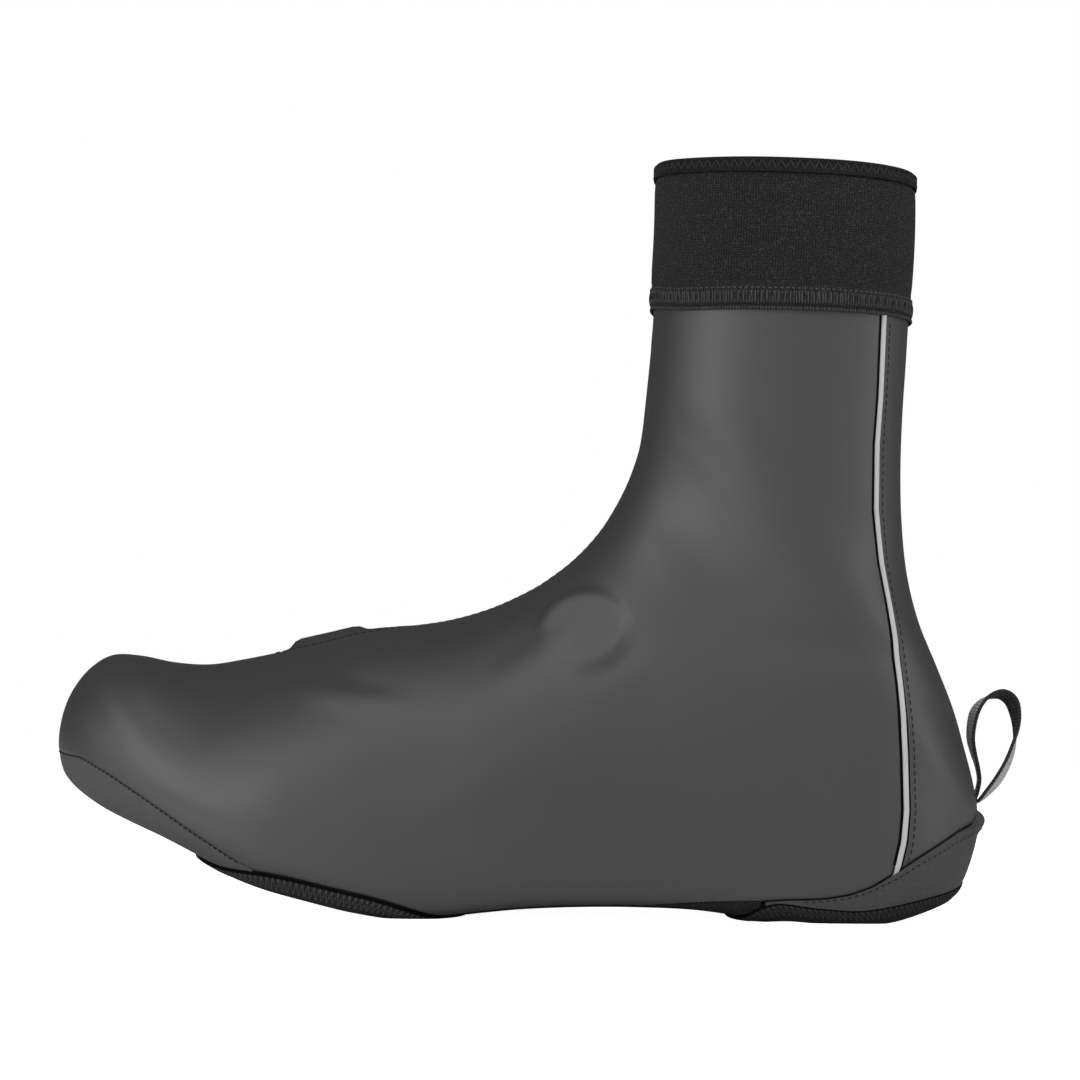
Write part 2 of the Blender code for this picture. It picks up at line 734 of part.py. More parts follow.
def build_patch(name, places, heights, wall, material):
    """A panel from a grid of places (station, share) on the loft, its outer side raised by heights."""
    rows, columns = places.shape[:2]
    outer_points = []
    inner_points = []
    for row in range(rows):
        for column in range(columns):
            station, share = places[row, column]
            around = around_of_share(station, share)
            point = surface_point(station, around)
            normal = surface_normal(station, around)
            outer_points.append(point + normal * heights[row, column])
            inner_points.append(point + normal * (heights[row, column] - wall))
    outer, inner, faces = wall_faces(rows, columns, [True] * rows)
    faces += end_faces(outer, inner, 0) + end_faces(outer, inner, rows - 1)
    return add_piece(name, outer_points + inner_points, faces, material)


def meeting_station(first, last, side, seam, opening):
    """Station where a seam meets an opening's outline on one side."""
    trial = np.linspace(first, last, SEARCH_SAMPLES)
    over = [
        share_below(station, side, seam) - opening.share_at(length_of_station(station)) for station in trial
    ]
    return float(trial[int(np.argmin(np.abs(over)))])


def build_toe_guard(material):
    """The panel under the toe, between the toe seam and the front opening."""
    start = toe_apex() + TOE_GUARD_START
    edge = CLEAT_OPENING.grown(SEAM_GAP, GAP / TOE_GUARD_HALF_WIDTH)
    places = np.zeros((GUARD_STEPS + 1, GUARD_ROWS + 2, 2))
    for index, way in enumerate(np.linspace(-GUARD_END, GUARD_END, GUARD_STEPS + 1)):
        side = LATERAL if way >= 0 else MEDIAL
        meet = meeting_station(TOE_MEET_FIRST, TOE_MEET_LAST, side, TOE_SEAM, edge)
        station = start + (meet - start) * abs(way) ** TOE_GUARD_CROWDING
        width = section_at(station).lateral if side == LATERAL else section_at(station).medial
        seam_share = side * max(share_below(station, side, TOE_SEAM) - GAP / 2 / width, 0.0)
        end_share = way * edge.share_at(length_of_station(meet))
        end_station = station_of_length(edge.length_at(end_share, -1))
        for row, part in enumerate(np.linspace(0.0, 1.0, GUARD_ROWS + 2)):
            places[index, row] = (
                station + (end_station - station) * part,
                seam_share + (end_share - seam_share) * part,
            )
    return build_patch("toe_guard", places, np.zeros(places.shape[:2]), GUARD_WALL, material)


def build_heel_guard(material):
    """The crescent around the heel, with a lip at the back of its top edge."""
    edge = HEEL_OPENING.grown(HEEL_GUARD_GAP, HEEL_GUARD_GAP / HEEL_HALF_WIDTH)
    start = SECTION_HEEL_BACK - HEEL_GUARD_START
    tip_length = length_of_station(station_of_x(HEEL_TIP_X))
    tip_reach = (tip_length - edge.middle) / edge.half_length
    tip_turn = math.acos(math.copysign(abs(tip_reach) ** (edge.square / 2), tip_reach))
    tip = station_of_length(tip_length)
    rows = GUARD_ROWS + 2
    places = np.zeros((GUARD_STEPS + 3, rows, 2))
    heights = np.zeros((GUARD_STEPS + 3, rows))
    for index, way in enumerate(np.linspace(-GUARD_END, GUARD_END, GUARD_STEPS + 3)):
        side = LATERAL if way >= 0 else MEDIAL
        station = start - (start - tip) * abs(way) ** HEEL_GUARD_CROWDING
        width = section_at(station).lateral if side == LATERAL else section_at(station).medial
        seam_share = side * max(share_below(station, side, HEEL_SEAM) - GAP / width, 0.0)
        length, end_share = edge.at_turn(way * tip_turn)
        end_station = station_of_length(length)
        back = 2 * smooth_step(1 - abs(way) / LIP_REACH)
        over = LIP_HEIGHT / heel_back_spacing() * max(back - 1, 0.0)
        for row, part in enumerate([0.0, *np.linspace(0.0, 1.0, rows - 1) ** HEEL_ROW_CROWDING]):
            places[index, row] = (
                station + (end_station - station) * part + (over if row == 0 else 0.0),
                seam_share + (end_share - seam_share) * part,
            )
            lip = LIP_RISE * min(back, 1.0) * smooth_step(1 - part / LIP_SHARE)
            heights[index, row] = GUARD_PROUD + lip
    return build_patch("heel_guard", places, heights, GUARD_WALL, material)


def build_sole_panel(material):
    """The panel under the arch, between the two openings and the upper's edges."""
    front_edge = CLEAT_OPENING.grown(SOLE_FRONT_GAP, 0.0)
    rear_edge = HEEL_OPENING.grown(SEAM_GAP, SEAM_GAP / HEEL_HALF_WIDTH)
    last = length_of_station(station_of_x(SOLE_REAR_X))
    places = np.zeros((SOLE_COLUMNS + 1, SOLE_ROWS + 1, 2))
    for index, way in enumerate(np.linspace(-1.0, 1.0, SOLE_COLUMNS + 1)):
        side = LATERAL if way >= 0 else MEDIAL
        reach = abs(way)
        front = front_edge.middle + front_edge.half_length
        rear = rear_edge.middle - rear_edge.half_length
        for _ in range(SOLE_FITTING_ROUNDS):
            shares = []
            for length in (front, rear):
                station = station_of_length(length)
                width = section_at(station).lateral if side == LATERAL else section_at(station).medial
                shares.append(reach * (edge_share(station, side) - SEAM_GAP / width))
            front = (front + front_edge.length_at(shares[0], 1)) / 2
            rear = (rear + min(rear_edge.length_at(shares[1], -1), last)) / 2
        for row, part in enumerate(np.linspace(0.0, 1.0, SOLE_ROWS + 1)):
            station = station_of_length(front + (rear - front) * part)
            width = section_at(station).lateral if side == LATERAL else section_at(station).medial
            places[index, row] = (station, side * reach * (edge_share(station, side) - SEAM_GAP / width))
    return build_patch("sole_panel", places, np.zeros(places.shape[:2]), SOLE_WALL, material)


def swept_faces(steps, corners):
    """Faces of a closed ring with steps around and corners in its profile."""
    faces = []
    for step in range(steps):
        after = (step + 1) % steps
        for corner in range(corners):
            side = (corner + 1) % corners
            faces.append(
                (
                    step * corners + corner,
                    step * corners + side,
                    after * corners + side,
                    after * corners + corner,
                )
            )
    return faces


def build_tape(name, opening, material):
    """A tape around an opening, flat where it stands on the floor."""
    rim = opening.grown(-TAPE_LENGTHWISE, -TAPE_SHARE)
    points = []
    for step in range(TAPE_STEPS):
        turn = 2 * math.pi * step / TAPE_STEPS
        rim_length, rim_share = rim.at_turn(turn)
        seam_length, seam_share = opening.at_turn(turn)
        for corner in TAPE_PROFILE:
            station = station_of_length(rim_length + (seam_length - rim_length) * corner.share)
            around = around_of_share(station, rim_share + (seam_share - rim_share) * corner.share)
            point = surface_point(station, around) + surface_normal(station, around) * corner.height
            point[2] = max(point[2], 0.0)
            points.append(point)
    return add_piece(name, points, swept_faces(TAPE_STEPS, len(TAPE_PROFILE)), material)


def build_band(name, profile, material):
    """A band around the ankle with a closed profile."""
    points = []
    for step in range(BAND_COLUMNS):
        around = 1 - 2 * step / BAND_COLUMNS
        for corner in profile:
            point = surface_point(corner.section, around)
            normal = surface_normal(corner.section, around)
            level = np.array([normal[0], normal[1], 0.0])
            level = level / np.linalg.norm(level)
            points.append(point + level * corner.offset + np.array([0.0, 0.0, corner.rise]))
    return add_piece(name, points, swept_faces(BAND_COLUMNS, len(profile)), material)


def piping_place(station, side):
    """Where the piping crosses a section, around its girth."""
    points, girth = half_curve(section_at(station), side)
    lines = np.interp(points[:, 2], [point.z for point in PIPING_LINE], [point.x for point in PIPING_LINE])
    ahead = points[:, 0] - lines
    index = int(np.argmax(ahead <= 0))
    part = ahead[index - 1] / (ahead[index - 1] - ahead[index])
    place = girth[index - 1] + part * (girth[index] - girth[index - 1])
    return side * (1 - place / girth[-1])


def build_piping(name, side, material):
    """A half round cord on the upper, from the heel guard to the cuff."""
    stations = np.linspace(PIPING_FIRST_SECTION, PIPING_LAST_SECTION, GUARD_STEPS + 3)
    places = [piping_place(station, side) for station in stations]
    centres = [surface_point(station, around) for station, around in zip(stations, places)]
    points = []
    for index, (station, around) in enumerate(zip(stations, places)):
        before = centres[max(index - 1, 0)]
        after = centres[min(index + 1, len(centres) - 1)]
        way = (after - before) / np.linalg.norm(after - before)
        normal = surface_normal(station, around)
        across = np.cross(normal, way)
        for corner in PIPING_PROFILE:
            sideways = across * corner.width * PIPING_WIDTH / 2
            points.append(centres[index] + sideways + normal * (GAP + corner.height * PIPING_HEIGHT))
    corners = len(PIPING_PROFILE)
    steps = len(stations)
    faces = swept_faces(steps, corners)[: (steps - 1) * corners]
    faces.append(tuple(range(corners)))
    faces.append(tuple((steps - 1) * corners + corner for corner in range(corners)))
    return add_piece(name, points, faces, material)


def build_pull_loop(material):
    """The closed loop of tape behind the heel."""
    line = np.array(LOOP_LINE)
    count = len(line)
    path = []
    for index in range(count):
        around = [line[(index + shift) % count] for shift in (-1, 0, 1, 2)]
        for step in range(LOOP_STEPS):
            path.append(blend(*around, step / LOOP_STEPS))
    path = np.array(path)
    steps = len(path)
    points = []
    for index, (x, z, turn) in enumerate(path):
        before = path[index - 1]
        after = path[(index + 1) % steps]
        way = np.array([after[0] - before[0], 0.0, after[1] - before[1]])
        way = way / np.linalg.norm(way)
        outward = np.array([-way[2], 0.0, way[0]])
        side = np.array([0.0, 1.0, 0.0])
        angle = math.radians(turn)
        across = side * math.cos(angle) + outward * math.sin(angle)
        face = outward * math.cos(angle) - side * math.sin(angle)
        for width, height in ((-0.5, -0.5), (0.5, -0.5), (0.5, 0.5), (-0.5, 0.5)):
            points.append(
                np.array([x, 0.0, z]) + across * width * LOOP_WIDTH + face * height * LOOP_THICKNESS
            )
    return add_piece("pull_loop", points, swept_faces(steps, 4), material)


def build():
    """All pieces of the overshoe."""
    for item in list(bpy.data.objects):
        bpy.data.objects.remove(item, do_unlink=True)
    coated = paint(COATED_FABRIC)
    guard = paint(GUARD_FABRIC)
    elastic = paint(ELASTIC_FABRIC)
    knit = paint(CUFF_KNIT)
    tape = paint(BINDING_TAPE)
    reflective = paint(REFLECTIVE_CORD)
    webbing = paint(LOOP_WEBBING)
    build_upper(coated)
    build_toe_guard(guard)
    build_heel_guard(guard)
    build_sole_panel(elastic)
    build_tape("cleat_opening_binding", CLEAT_OPENING, tape)
    build_tape("heel_opening_binding", HEEL_OPENING, tape)
    build_band("cuff", CUFF_PROFILE, knit)
    build_band("cuff_binding", CUFF_BINDING_PROFILE, tape)
    build_piping("piping_lateral", LATERAL, reflective)
    build_piping("piping_medial", MEDIAL, reflective)
    build_pull_loop(webbing)


build()
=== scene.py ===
"""Looks of a cycling overshoe for a left foot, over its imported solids.

Inside the pieces, lengths are millimetres: x from the toe tip, y across with the lateral side negative,
z from the floor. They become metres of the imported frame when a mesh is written.
"""

import logging
import math
from dataclasses import dataclass
from enum import Enum
from functools import cached_property
from typing import Any, Callable, NamedTuple

import bpy
import numpy as np
from mathutils import Matrix, Vector
from mathutils.bvhtree import BVHTree


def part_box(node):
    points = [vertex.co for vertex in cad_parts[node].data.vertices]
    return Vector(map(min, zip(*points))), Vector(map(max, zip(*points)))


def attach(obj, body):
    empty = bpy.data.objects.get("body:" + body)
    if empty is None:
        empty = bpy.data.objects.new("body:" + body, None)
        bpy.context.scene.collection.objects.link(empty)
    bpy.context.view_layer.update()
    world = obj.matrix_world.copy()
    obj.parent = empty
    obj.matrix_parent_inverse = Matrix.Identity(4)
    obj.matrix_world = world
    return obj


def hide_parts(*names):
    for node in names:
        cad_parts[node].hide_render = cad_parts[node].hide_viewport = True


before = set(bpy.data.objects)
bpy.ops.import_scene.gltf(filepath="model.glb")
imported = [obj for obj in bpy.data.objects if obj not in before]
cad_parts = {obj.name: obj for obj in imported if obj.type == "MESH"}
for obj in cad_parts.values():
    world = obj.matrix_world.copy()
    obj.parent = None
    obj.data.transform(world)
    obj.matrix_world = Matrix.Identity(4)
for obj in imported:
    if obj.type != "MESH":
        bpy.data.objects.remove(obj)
log = logging.getLogger("overshoe")

METRES_PER_MM = 0.001
TOE_TIP_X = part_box("upper")[0].x / METRES_PER_MM
MIDDLE_Y = 1.0
BODY = "root"
FAR_AWAY = 99.0


class Side(Enum):
    """A side of the foot, with the sign of its place around the girth."""

    LATERAL = 1
    MEDIAL = -1


class Section(NamedTuple):
    """One section of the last: its ends in side view, its half widths, and how square it is."""

    top_x: float
    top_z: float
    low_x: float
    low_z: float
    lateral: float
    medial: float
    middle: float
    widest: float
    low_square: float
    top_square: float

    def width(self, side: Side) -> float:
        """Half width on a side."""
        return self.lateral if side is Side.LATERAL else self.medial


class SeamPoint(NamedTuple):
    """A point of a seam in side view."""

    x: float
    z: float


class LoopPoint(NamedTuple):
    """A point of the pull loop in side view, and the turn of its webbing there in degrees."""

    x: float
    z: float
    turn: float


class TapePoint(NamedTuple):
    """A corner of a tape's profile: its share of the way from rim to seam, and its height."""

    share: float
    height: float


class BandPoint(NamedTuple):
    """A corner of a band around the ankle: its section, a height above it, and its offset."""

    section: float
    rise: float
    offset: float


class Crease(NamedTuple):
    """A soft ridge or trough of the fabric, in side view, with its half lengths along and across."""

    side: Side
    x: float
    z: float
    along: float
    across: float
    slope_deg: float
    height: float


SECTIONS = (
    Section(0.5, 56.2, 0.5, 46.8, 6.5, 6.5, 6.0, 0.50, 2.2, 2.00),
    Section(2.0, 62.4, 2.0, 41.6, 13.0, 12.5, 5.8, 0.47, 2.3, 2.00),
    Section(4.8, 68.3, 4.8, 38.0, 20.0, 18.5, 5.6, 0.43, 2.5, 2.05),
    Section(9.5, 74.2, 9.5, 34.3, 26.8, 25.5, 5.2, 0.37, 2.8, 2.10),
    Section(16.5, 78.4, 16.5, 30.2, 33.5, 32.0, 4.8, 0.33, 3.2, 2.14),
    Section(25.5, 78.3, 25.5, 26.3, 39.2, 37.0, 4.2, 0.30, 3.7, 2.02),
    Section(36.0, 76.4, 36.0, 22.1, 44.0, 41.3, 3.6, 0.28, 4.3, 1.80),
    Section(47.0, 75.9, 47.0, 17.1, 48.0, 44.8, 3.0, 0.27, 5.0, 1.70),
    Section(58.0, 77.7, 58.0, 11.7, 51.0, 47.6, 2.4, 0.27, 5.6, 1.73),
    Section(70.0, 80.3, 70.0, 7.0, 53.0, 49.6, 1.9, 0.28, 6.2, 1.83),
    Section(83.0, 83.4, 83.0, 3.6, 53.4, 50.3, 1.4, 0.29, 6.8, 1.94),
    Section(96.0, 86.6, 96.0, 0.7, 53.2, 49.6, 0.9, 0.30, 7.0, 2.02),
    Section(109.0, 88.7, 109.0, -0.6, 52.5, 47.9, 0.5, 0.31, 7.0, 2.06),
    Section(122.0, 90.8, 122.0, -0.1, 51.7, 45.6, 0.1, 0.32, 7.0, 2.10),
    Section(135.0, 94.7, 135.0, 1.4, 51.0, 43.4, -0.2, 0.33, 7.0, 2.14),
    Section(147.0, 100.4, 147.0, 2.6, 50.0, 41.8, -0.3, 0.33, 7.0, 2.14),
    Section(153.5, 104.6, 164.0, 3.4, 48.4, 40.4, -0.3, 0.33, 7.0, 2.16),
    Section(159.5, 109.3, 182.0, 3.5, 45.9, 39.4, -0.3, 0.33, 7.0, 2.16),
    Section(165.0, 114.8, 200.0, 2.8, 43.3, 38.6, -0.2, 0.33, 7.2, 2.18),
    Section(169.5, 120.5, 218.0, 0.4, 41.2, 38.0, -0.1, 0.33, 7.4, 2.20),
    Section(173.0, 126.2, 234.5, -1.6, 40.0, 37.6, 0.0, 0.33, 7.0, 2.25),
    Section(175.7, 131.4, 249.5, -2.8, 39.0, 37.2, 0.0, 0.34, 6.2, 2.30),
    Section(177.6, 135.8, 262.5, -2.0, 38.2, 36.8, 0.0, 0.35, 4.8, 2.30),
    Section(179.0, 139.7, 273.0, 2.5, 37.6, 36.5, 0.0, 0.36, 3.5, 2.30),
    Section(180.1, 143.2, 281.0, 9.8, 37.1, 36.2, 0.0, 0.38, 2.75, 2.30),
    Section(180.9, 146.4, 285.5, 19.6, 36.7, 36.0, 0.0, 0.40, 2.3, 2.30),
    Section(181.4, 149.5, 287.8, 31.3, 36.3, 35.8, 0.0, 0.42, 2.15, 2.30),
    Section(181.8, 152.6, 286.4, 42.0, 36.0, 35.6, 0.0, 0.44, 2.08, 2.30),
    Section(182.1, 155.8, 283.5, 53.0, 35.7, 35.4, 0.0, 0.46, 2.05, 2.30),
    Section(182.4, 159.0, 280.0, 65.0, 35.4, 35.2, 0.0, 0.47, 2.05, 2.30),
    Section(182.7, 162.2, 274.8, 78.0, 35.1, 35.0, 0.0, 0.48, 2.08, 2.30),
    Section(183.0, 165.5, 268.9, 92.0, 34.8, 34.7, 0.0, 0.49, 2.12, 2.30),
    Section(183.3, 168.8, 265.0, 107.0, 34.5, 34.4, 0.0, 0.50, 2.18, 2.30),
    Section(183.6, 172.3, 263.1, 123.5, 34.2, 34.1, 0.0, 0.50, 2.3, 2.30),
    Section(183.9, 176.0, 262.6, 140.0, 34.0, 33.9, 0.0, 0.50, 2.3, 2.30),
    Section(184.1, 179.8, 263.0, 157.0, 33.9, 33.8, 0.0, 0.50, 2.3, 2.30),
    Section(184.4, 183.8, 263.9, 173.0, 33.9, 33.8, 0.0, 0.50, 2.3, 2.30),
    Section(184.6, 188.0, 264.6, 187.3, 34.0, 33.9, 0.0, 0.50, 2.3, 2.30),
    Section(184.7, 197.0, 265.2, 196.4, 34.2, 34.1, 0.0, 0.50, 2.3, 2.30),
    Section(184.9, 214.0, 265.9, 213.2, 34.6, 34.5, 0.0, 0.50, 2.3, 2.30),
    Section(185.2, 234.0, 266.2, 232.4, 34.8, 34.7, 0.0, 0.50, 2.3, 2.30),
)


class Station(float, Enum):
    """Numbers of the sections that pieces start or end at."""

    TOE_GUARD = 9.0
    CLEAT = 12.0
    HEEL = 22.0
    HEEL_BACK = 27.0
    HEM = 38.0
    COLLAR = 39.0
    CUFF_TOP = 41.0


TOE_SEAM = (
    SeamPoint(0.0, 48.0),
    SeamPoint(4.2, 46.8),
    SeamPoint(9.6, 46.2),
    SeamPoint(13.2, 44.6),
    SeamPoint(20.9, 40.6),
    SeamPoint(30.6, 34.8),
    SeamPoint(46.9, 24.4),
    SeamPoint(60.3, 16.3),
    SeamPoint(70.0, 11.6),
    SeamPoint(84.0, 5.0),
)
HEEL_SEAM = (
    SeamPoint(176.0, 4.0),
    SeamPoint(188.2, 4.9),
    SeamPoint(203.6, 5.9),
    SeamPoint(212.0, 6.2),
    SeamPoint(219.0, 6.4),
    SeamPoint(226.0, 6.9),
    SeamPoint(237.5, 7.3),
    SeamPoint(245.4, 8.7),
    SeamPoint(251.8, 11.0),
    SeamPoint(258.5, 15.0),
    SeamPoint(267.1, 20.4),
    SeamPoint(279.8, 27.9),
    SeamPoint(288.0, 31.3),
)
HEEL_TAPE_LINE = (
    SeamPoint(209.7, 4.1),
    SeamPoint(216.0, 6.0),
    SeamPoint(222.0, 6.9),
    SeamPoint(228.4, 5.8),
    SeamPoint(233.6, 5.0),
    SeamPoint(244.0, 4.2),
    SeamPoint(249.7, 4.2),
    SeamPoint(256.6, 5.3),
    SeamPoint(265.1, 7.3),
    SeamPoint(274.4, 10.1),
    SeamPoint(279.1, 11.7),
    SeamPoint(284.6, 13.6),
)
PIPING_LINE = (
    SeamPoint(257.0, 5.0),
    SeamPoint(259.8, 16.2),
    SeamPoint(261.8, 25.0),
    SeamPoint(262.5, 34.0),
    SeamPoint(262.0, 51.0),
    SeamPoint(261.3, 63.0),
    SeamPoint(259.0, 86.0),
    SeamPoint(257.2, 97.0),
    SeamPoint(254.8, 110.0),
    SeamPoint(253.1, 126.0),
    SeamPoint(253.2, 146.0),
    SeamPoint(254.2, 161.0),
    SeamPoint(255.0, 188.0),
)
LOOP_LINE = (
    LoopPoint(286.9, 37.6, 0.0),
    LoopPoint(287.7, 39.4, -3.0),
    LoopPoint(288.5, 43.4, -4.0),
    LoopPoint(287.9, 47.6, -3.0),
    LoopPoint(286.8, 51.4, 0.0),
    LoopPoint(285.8, 56.0, 4.0),
    LoopPoint(286.0, 60.6, 7.0),
    LoopPoint(287.0, 64.8, 8.0),
    LoopPoint(289.2, 68.0, 2.0),
    LoopPoint(292.2, 69.9, -8.0),
    LoopPoint(295.6, 70.3, -16.0),
    LoopPoint(298.4, 68.2, -18.0),
    LoopPoint(299.7, 64.0, -11.0),
    LoopPoint(299.9, 59.4, 0.0),
    LoopPoint(299.1, 54.4, 12.0),
    LoopPoint(297.4, 49.2, 17.0),
    LoopPoint(294.6, 44.0, 19.0),
    LoopPoint(291.2, 39.8, 14.0),
    LoopPoint(288.2, 36.9, 6.0),
)
CREASES = (
    Crease(Side.LATERAL, 90.0, 66.5, 14.0, 4.2, -10.0, 1.00),
    Crease(Side.LATERAL, 98.0, 70.5, 11.0, 3.4, -10.0, -0.60),
    Crease(Side.LATERAL, 13.0, 64.0, 9.0, 3.0, -62.0, -0.45),
    Crease(Side.LATERAL, 143.0, 84.0, 16.0, 5.0, 38.0, -0.70),
    Crease(Side.LATERAL, 176.0, 72.0, 16.0, 6.0, 35.0, 0.45),
    Crease(Side.LATERAL, 240.0, 84.0, 20.0, 4.5, -10.0, -0.60),
    Crease(Side.LATERAL, 234.0, 72.0, 22.0, 6.5, -8.0, 0.45),
    Crease(Side.LATERAL, 124.0, 36.0, 15.0, 8.0, 40.0, 0.50),
    Crease(Side.LATERAL, 60.0, 44.0, 18.0, 7.0, 36.0, -0.35),
    Crease(Side.MEDIAL, 150.0, 80.0, 18.0, 5.0, 40.0, -0.70),
    Crease(Side.MEDIAL, 232.0, 82.0, 20.0, 5.0, -12.0, -0.55),
    Crease(Side.MEDIAL, 206.0, 96.0, 18.0, 6.0, 50.0, -0.45),
    Crease(Side.MEDIAL, 118.0, 34.0, 17.0, 8.0, 35.0, 0.50),
    Crease(Side.MEDIAL, 90.0, 58.0, 14.0, 5.0, 8.0, -0.45),
)


def blend(before: Any, first: Any, second: Any, after: Any, share: float) -> Any:
    """Value between first and second on a curve through all four.

    Args:
        before: Value before first.
        first: Value at share 0.
        second: Value at share 1.
        after: Value after second.
        share: How far the result lies from first towards second.

    Returns:
        The value on the curve, of the same kind as the four.
    """
    slope_first = (second - before) / 2
    slope_second = (after - first) / 2
    square = share * share
    cube = square * share
    return (
        first * (2 * cube - 3 * square + 1)
        + slope_first * (cube - 2 * square + share)
        + second * (3 * square - 2 * cube)
        + slope_second * (cube - square)
    )


def smooth_step(value: Any) -> Any:
    """0 below 0, 1 above 1, and a soft rise between."""
    value = np.clip(value, 0.0, 1.0)
    return value * value * (3 - 2 * value)


def unit(vectors: np.ndarray) -> np.ndarray:
    """The same directions with length 1."""
    return vectors / np.maximum(np.linalg.norm(vectors, axis=-1, keepdims=True), 1e-9)


def running_sum(steps: np.ndarray) -> np.ndarray:
    """The sum of the steps before each place, from 0 on."""
    return np.concatenate([[0.0], np.cumsum(steps)])


def lengths_along(points: np.ndarray) -> np.ndarray:
    """The length of a line of points up to each of them."""
    return running_sum(np.linalg.norm(np.diff(points, axis=0), axis=1))


@dataclass
class Last:
    """The outer surface of the overshoe: a loft from the toe point to the top of the cuff."""

    sections: tuple[Section, ...] = SECTIONS
    toe_point_z: float = 52.0
    quarter_points: int = 121
    station_step: float = 0.03
    around_step: float = 0.012
    low_samples: int = 541

    @cached_property
    def rows(self) -> np.ndarray:
        """The table as numbers, with the toe point and one row beyond each end."""
        first = self.sections[0]
        point = first._replace(
            top_x=0.0,
            top_z=self.toe_point_z,
            low_x=0.0,
            low_z=self.toe_point_z,
            lateral=0.0,
            medial=0.0,
        )
        beyond = first._replace(
            top_x=first.low_x,
            top_z=first.low_z,
            low_x=first.top_x,
            low_z=first.top_z,
            lateral=-first.lateral,
            medial=-first.medial,
        )
        rows = np.array([beyond, point, *self.sections])
        return np.vstack([rows, 2 * rows[-1] - rows[-2]])

    @cached_property
    def low_line(self) -> tuple[np.ndarray, np.ndarray, np.ndarray]:
        """Stations of the bottom line up to the heel's back, its points and its length at each."""
        stations = np.linspace(0.0, Station.HEEL_BACK, self.low_samples)
        places = np.array([[self.section(s).low_x, self.section(s).low_z] for s in stations])
        return stations, places, lengths_along(places)

    def section(self, station: float) -> Section:
        """The section at a station, 0 being the toe point and whole numbers the rows of the table."""
        index = min(max(int(math.floor(station)), 0), len(self.rows) - 4)
        return Section(*blend(*self.rows[index : index + 4], station - index))

    def half_curve(self, section: Section, side: Side) -> tuple[np.ndarray, np.ndarray]:
        """One side of a section from its low point to its top.

        Args:
            section: The section.
            side: The side of the foot.

        Returns:
            The points, and the girth up to each of them.
        """
        turn = np.linspace(0.0, math.pi / 2, self.quarter_points)
        sine = np.clip(np.sin(turn), 0.0, 1.0)
        cosine = np.clip(np.cos(turn), 0.0, 1.0)
        low_power = 2 / section.low_square
        top_power = 2 / section.top_square
        across = np.concatenate([sine**low_power, cosine[1:] ** top_power]) * section.width(side)
        low_part = section.widest * (1 - cosine**low_power)
        top_part = section.widest + (1 - section.widest) * sine[1:] ** top_power
        up = np.concatenate([low_part, top_part])
        points = np.stack(
            [
                section.low_x + (section.top_x - section.low_x) * up,
                section.middle - side.value * across,
                section.low_z + (section.top_z - section.low_z) * up,
            ],
            axis=1,
        )
        return points, lengths_along(points)

    def girth(self, station: float, side: Side) -> float:
        """Length of one side of a section."""
        return float(self.half_curve(self.section(station), side)[1][-1])

    def row(self, station: float, around: np.ndarray) -> np.ndarray:
        """Points of a section, by places that go from 0 at its top to 1 or -1 at its bottom."""
        section = self.section(station)
        low_end = np.where(around < -1, around + 2, around)
        wrapped = np.where(around > 1, around - 2, low_end)
        points = np.empty((len(wrapped), 3))
        for side in Side:
            chosen = wrapped >= 0 if side is Side.LATERAL else wrapped < 0
            if not chosen.any():
                continue
            curve, girth = self.half_curve(section, side)
            place = (1 - np.abs(wrapped[chosen])) * girth[-1]
            for axis in range(3):
                points[chosen, axis] = np.interp(place, girth, curve[:, axis])
        return points

    def normal_row(self, station: float, around: np.ndarray) -> np.ndarray:
        """Outward directions at the points of a section."""
        if station < self.station_step:
            return np.tile([-1.0, 0.0, 0.0], (len(around), 1))
        behind = self.row(station + self.station_step, around)
        ahead = self.row(station - self.station_step, around)
        lower = self.row(station, around + self.around_step)
        upper = self.row(station, around - self.around_step)
        return unit(np.cross(lower - upper, behind - ahead))

    def at(self, stations: np.ndarray, around: np.ndarray) -> tuple[np.ndarray, np.ndarray]:
        """Points and outward directions at single places.

        Args:
            stations: A station for each place.
            around: A place around the girth for each.

        Returns:
            The points and the directions.
        """
        places = [(s, np.array([a])) for s, a in zip(np.ravel(stations), np.ravel(around))]
        points = np.array([self.row(s, a)[0] for s, a in places])
        normals = np.array([self.normal_row(s, a)[0] for s, a in places])
        shape = (*np.shape(stations), 3)
        return points.reshape(shape), normals.reshape(shape)

    def around_of_share(self, station: float, share: float) -> float:
        """The place around a section of a share of its half width, counted from the bottom."""
        side = Side.LATERAL if share >= 0 else Side.MEDIAL
        width = self.section(station).width(side)
        return side.value * (1 - abs(share) * width / self.girth(station, side))

    def share_below(self, station: float, side: Side, seam: tuple[SeamPoint, ...]) -> float:
        """How far up a section a seam crosses it, as a share of the half width along the girth."""
        section = self.section(station)
        points, girth = self.half_curve(section, side)
        over = points[:, 2] - np.interp(points[:, 0], [p.x for p in seam], [p.z for p in seam])
        if over[0] >= 0:
            return 0.0
        return self.crossing(over, girth) / section.width(side)

    @staticmethod
    def crossing(over: np.ndarray, girth: np.ndarray) -> float:
        """The girth where a row of values first rises from below 0."""
        index = int(np.argmax(over >= 0))
        part = over[index - 1] / (over[index - 1] - over[index])
        return girth[index - 1] + part * (girth[index] - girth[index - 1])

    def station_of_x(self, x: float) -> float:
        """The station whose bottom is at a distance from the toe."""
        stations, places, _ = self.low_line
        floor = places[:, 0] < places[:, 0].max() - 1
        return float(np.interp(x, places[floor, 0], stations[floor]))

    def length_of_station(self, station: float) -> float:
        """Length of the bottom line up to a station."""
        stations, _, lengths = self.low_line
        return float(np.interp(station, stations, lengths))

    def station_of_length(self, length: float) -> float:
        """The station at a length along the bottom line."""
        stations, _, lengths = self.low_line
        return float(np.interp(length, lengths, stations))


